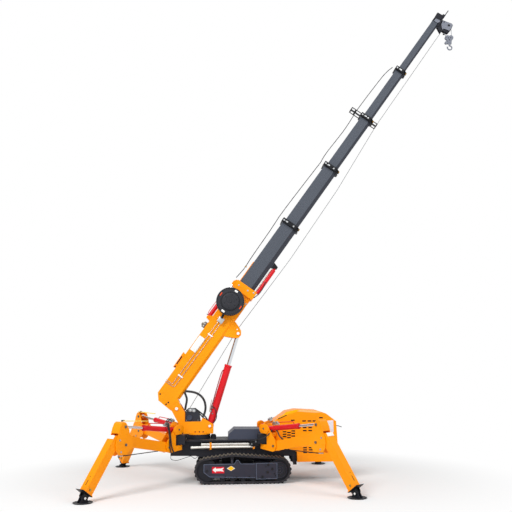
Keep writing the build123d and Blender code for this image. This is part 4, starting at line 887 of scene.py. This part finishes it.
PLATE_SIDE, COVER_SIDE = 0.5, 0.51
sign_red = paint("sign_red", "D8152A", "C61226", 0.4, dust=0.05)
sign_yellow = paint("sign_yellow", "FFC21A", "F8B400", 0.4, dust=0.05)
for side, tag in LEFT_RIGHT:
    heads(f"cover_bolts_{tag}", "chassis", upright(side * COVER_SIDE,
            ((1231, 315), (1301, 245), (1218, 193), (1127, 118))), (0, side, 0), 34.0, black_paint)
    heads(f"cover_screws_{tag}", "chassis", upright(side * COVER_SIDE,
            ((1186, 289), (1335, 169), (1355, 136))), (0, side, 0), 20.0, black_paint)
    heads(f"skirt_bolts_{tag}", "chassis", upright(side * PLATE_SIDE, ((900, 127), (683, 125), (477, 133))),
          (0, side, 0), 18.0, black_paint)
    rings = []
    for radius, bead in ((0.128, 0.006), (0.062, 0.008), (0.03, 0.008)):
        bpy.ops.object.select_all(action="DESELECT")
        bpy.ops.mesh.primitive_torus_add(major_radius=radius, minor_radius=bead, major_segments=48,
                                         minor_segments=8, location=(1.425, side * 0.498, 0.225),
                                         rotation=(math.pi / 2, 0, 0))
        rings.append(bpy.context.object)
    settle(merge(rings), f"hub_rings_{tag}", "chassis", frame_blue, 60.0)
    for name, material, view, lift in [
            ("sign", sign_red, ((251, 294), (463, 291), (464, 185), (252, 188)), 0.0012),
            ("arrow", white_plate, ((260, 243), (317, 287), (317, 263), (404, 265), (456, 278), (431, 246),
                                    (456, 212), (404, 222), (317, 220), (317, 198)), 0.002),
            ("diamond_edge", white_plate, ((508, 264), (580, 305), (652, 264), (580, 221)), 0.0012),
            ("diamond", sign_yellow, ((524, 264), (580, 302), (636, 264), (580, 224)), 0.002)]:
        plate(f"track_{name}_{tag}", "chassis", material, upright(side * PLATE_SIDE, view), lift, 0.0,
              (0, side, 0))

# The welded plates of a track frame get painted highlights along their edges, drawn as thin lighter beads.

# Painted highlight: a lighter grey than the frame's paint, along every plate edge.
painted_edge_highlight = paint("painted_edge_highlight", "666F84", "565E70", 0.45)
for side, tag in LEFT_RIGHT:
    for name, reach, view in [
            ("plate", PLATE_SIDE, ((1003, 104), (214, 128), (112, 200), (112, 333), (640, 335), (680, 398),
                                   (712, 398), (752, 335), (1003, 333))),
            ("cover", COVER_SIDE, ((1022, 80), (1022, 344), (1383, 344), (1383, 84), (1022, 80)))]:
        beads = [tube("bead", None, painted_edge_highlight, upright(side * reach, pair), 0.0045)
                 for pair in zip(view, view[1:])]
        settle(merge(beads), f"frame_edge_highlights_{name}_{tag}", "chassis", painted_edge_highlight, 60.0)

# Chassis: the black distributor at the rear end of the silver bars with its fittings and hose, the thin hoses
# that hang under the front, the side plates of its nose and the bright strip behind the bars.

plate("distributor", "chassis", black_paint, upright(-0.285, ((903, 644), (925, 690), (1034, 728), (1130, 760),
        (1130, 610), (956, 607))), 0.045, 0.008)
heads("distributor_ports", "chassis", [Vector((0.952, -0.33, 0.650)), Vector((1.03, -0.33, 0.690))],
      (0, -1, 0), 28.0, pin_steel)
supply = [Vector((x / 1000, y / 1000, z / 1000)) for x, y, z in ((1330, -520, 960), (1305, -565, 919),
        (1274, -565, 868), (1205, -560, 803), (1129, -530, 760), (1022, -450, 732), (934, -370, 704),
        (903, -335, 668))]
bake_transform(tube("distributor_hose", None, hose_rubber, supply, 0.009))
for n, view in enumerate([((-470, 480), (-505, 408), (-398, 370), (-278, 405), (-142, 447)),
                          ((-150, 452), (-111, 446), (-65, 402), (-20, 423), (0, 450))]):
    tube(f"front_hose_{n}", "chassis", hose_rubber, upright(-0.24, view), 0.0045)
for side, tag in NEAR_FAR:
    plate(f"front_apron_{tag}", "chassis", black_frame, upright(side * 0.235,
            ((-438, 700), (-486, 640), (-489, 457), (-38, 451), (60, 432), (60, 600), (20, 700))), 0.012,
            0.003, (0, side, 0))
plate("bar_backing", "chassis", bright_bar, upright(-0.262, ((62, 640), (62, 672), (905, 672), (905, 640))),
      0.004)

# Boom head: grey cheeks round the sheave, a grey clamp on the tube's cap, the limit switch's cord with its
# weight, and dark bolt holes in the hook block's cheeks.

SHEAVE = (9575.0, -11.0)
BLOCK_DROP = 0.291
for side, tag in NEAR_FAR:
    plate(f"head_cheek_{tag}", "boom_section_5", head_grey, arm_row(side * 42,
            ((9416, 50), (9428, 66), (9496, 130), (9598, 156), (9648, -40), (9630, -74), (9540, -90),
            (9476, -78), (9453, 36))), 0.002, 0.0005, (0, side, 0))
    heads(f"head_pin_{tag}", "boom_section_5", [on_arm(*SHEAVE, side * 46)], (0, side, 0), 44.0, black_paint,
          round_head)
    block_centre = on_arm(*SHEAVE, side * 30) - Vector((0, 0, BLOCK_DROP))
    # Painted shade: black discs stand for the dark insides of the hook block's bolt holes.
    heads(f"block_holes_{tag}", "hook_block", [block_centre + Vector((x, 0, z)) for x, z in
            ((-0.02, 0.02), (0.028, 0.022), (0.0, -0.03))], (0, side, 0), 17.0, black_paint, round_head)
plate("head_clamp", "boom_section_5", head_grey, arm_row(-61, ((9462, 300), (9532, 296), (9548, 200),
        (9519, 182), (9464, 216))), 0.004, 0.001)

tube("switch_cord", "boom_section_5", hose_rubber, [on_arm(*point) for point in
        ((9384, 110, -20), (9384, 72, -50), (9330, 22, -76), (9309, -30, -80))], 0.004)
heads("switch_weight", "boom_section_5", [on_arm(9309, -30, -80)], (0, 0, -1), 40.0, black_paint, round_head)
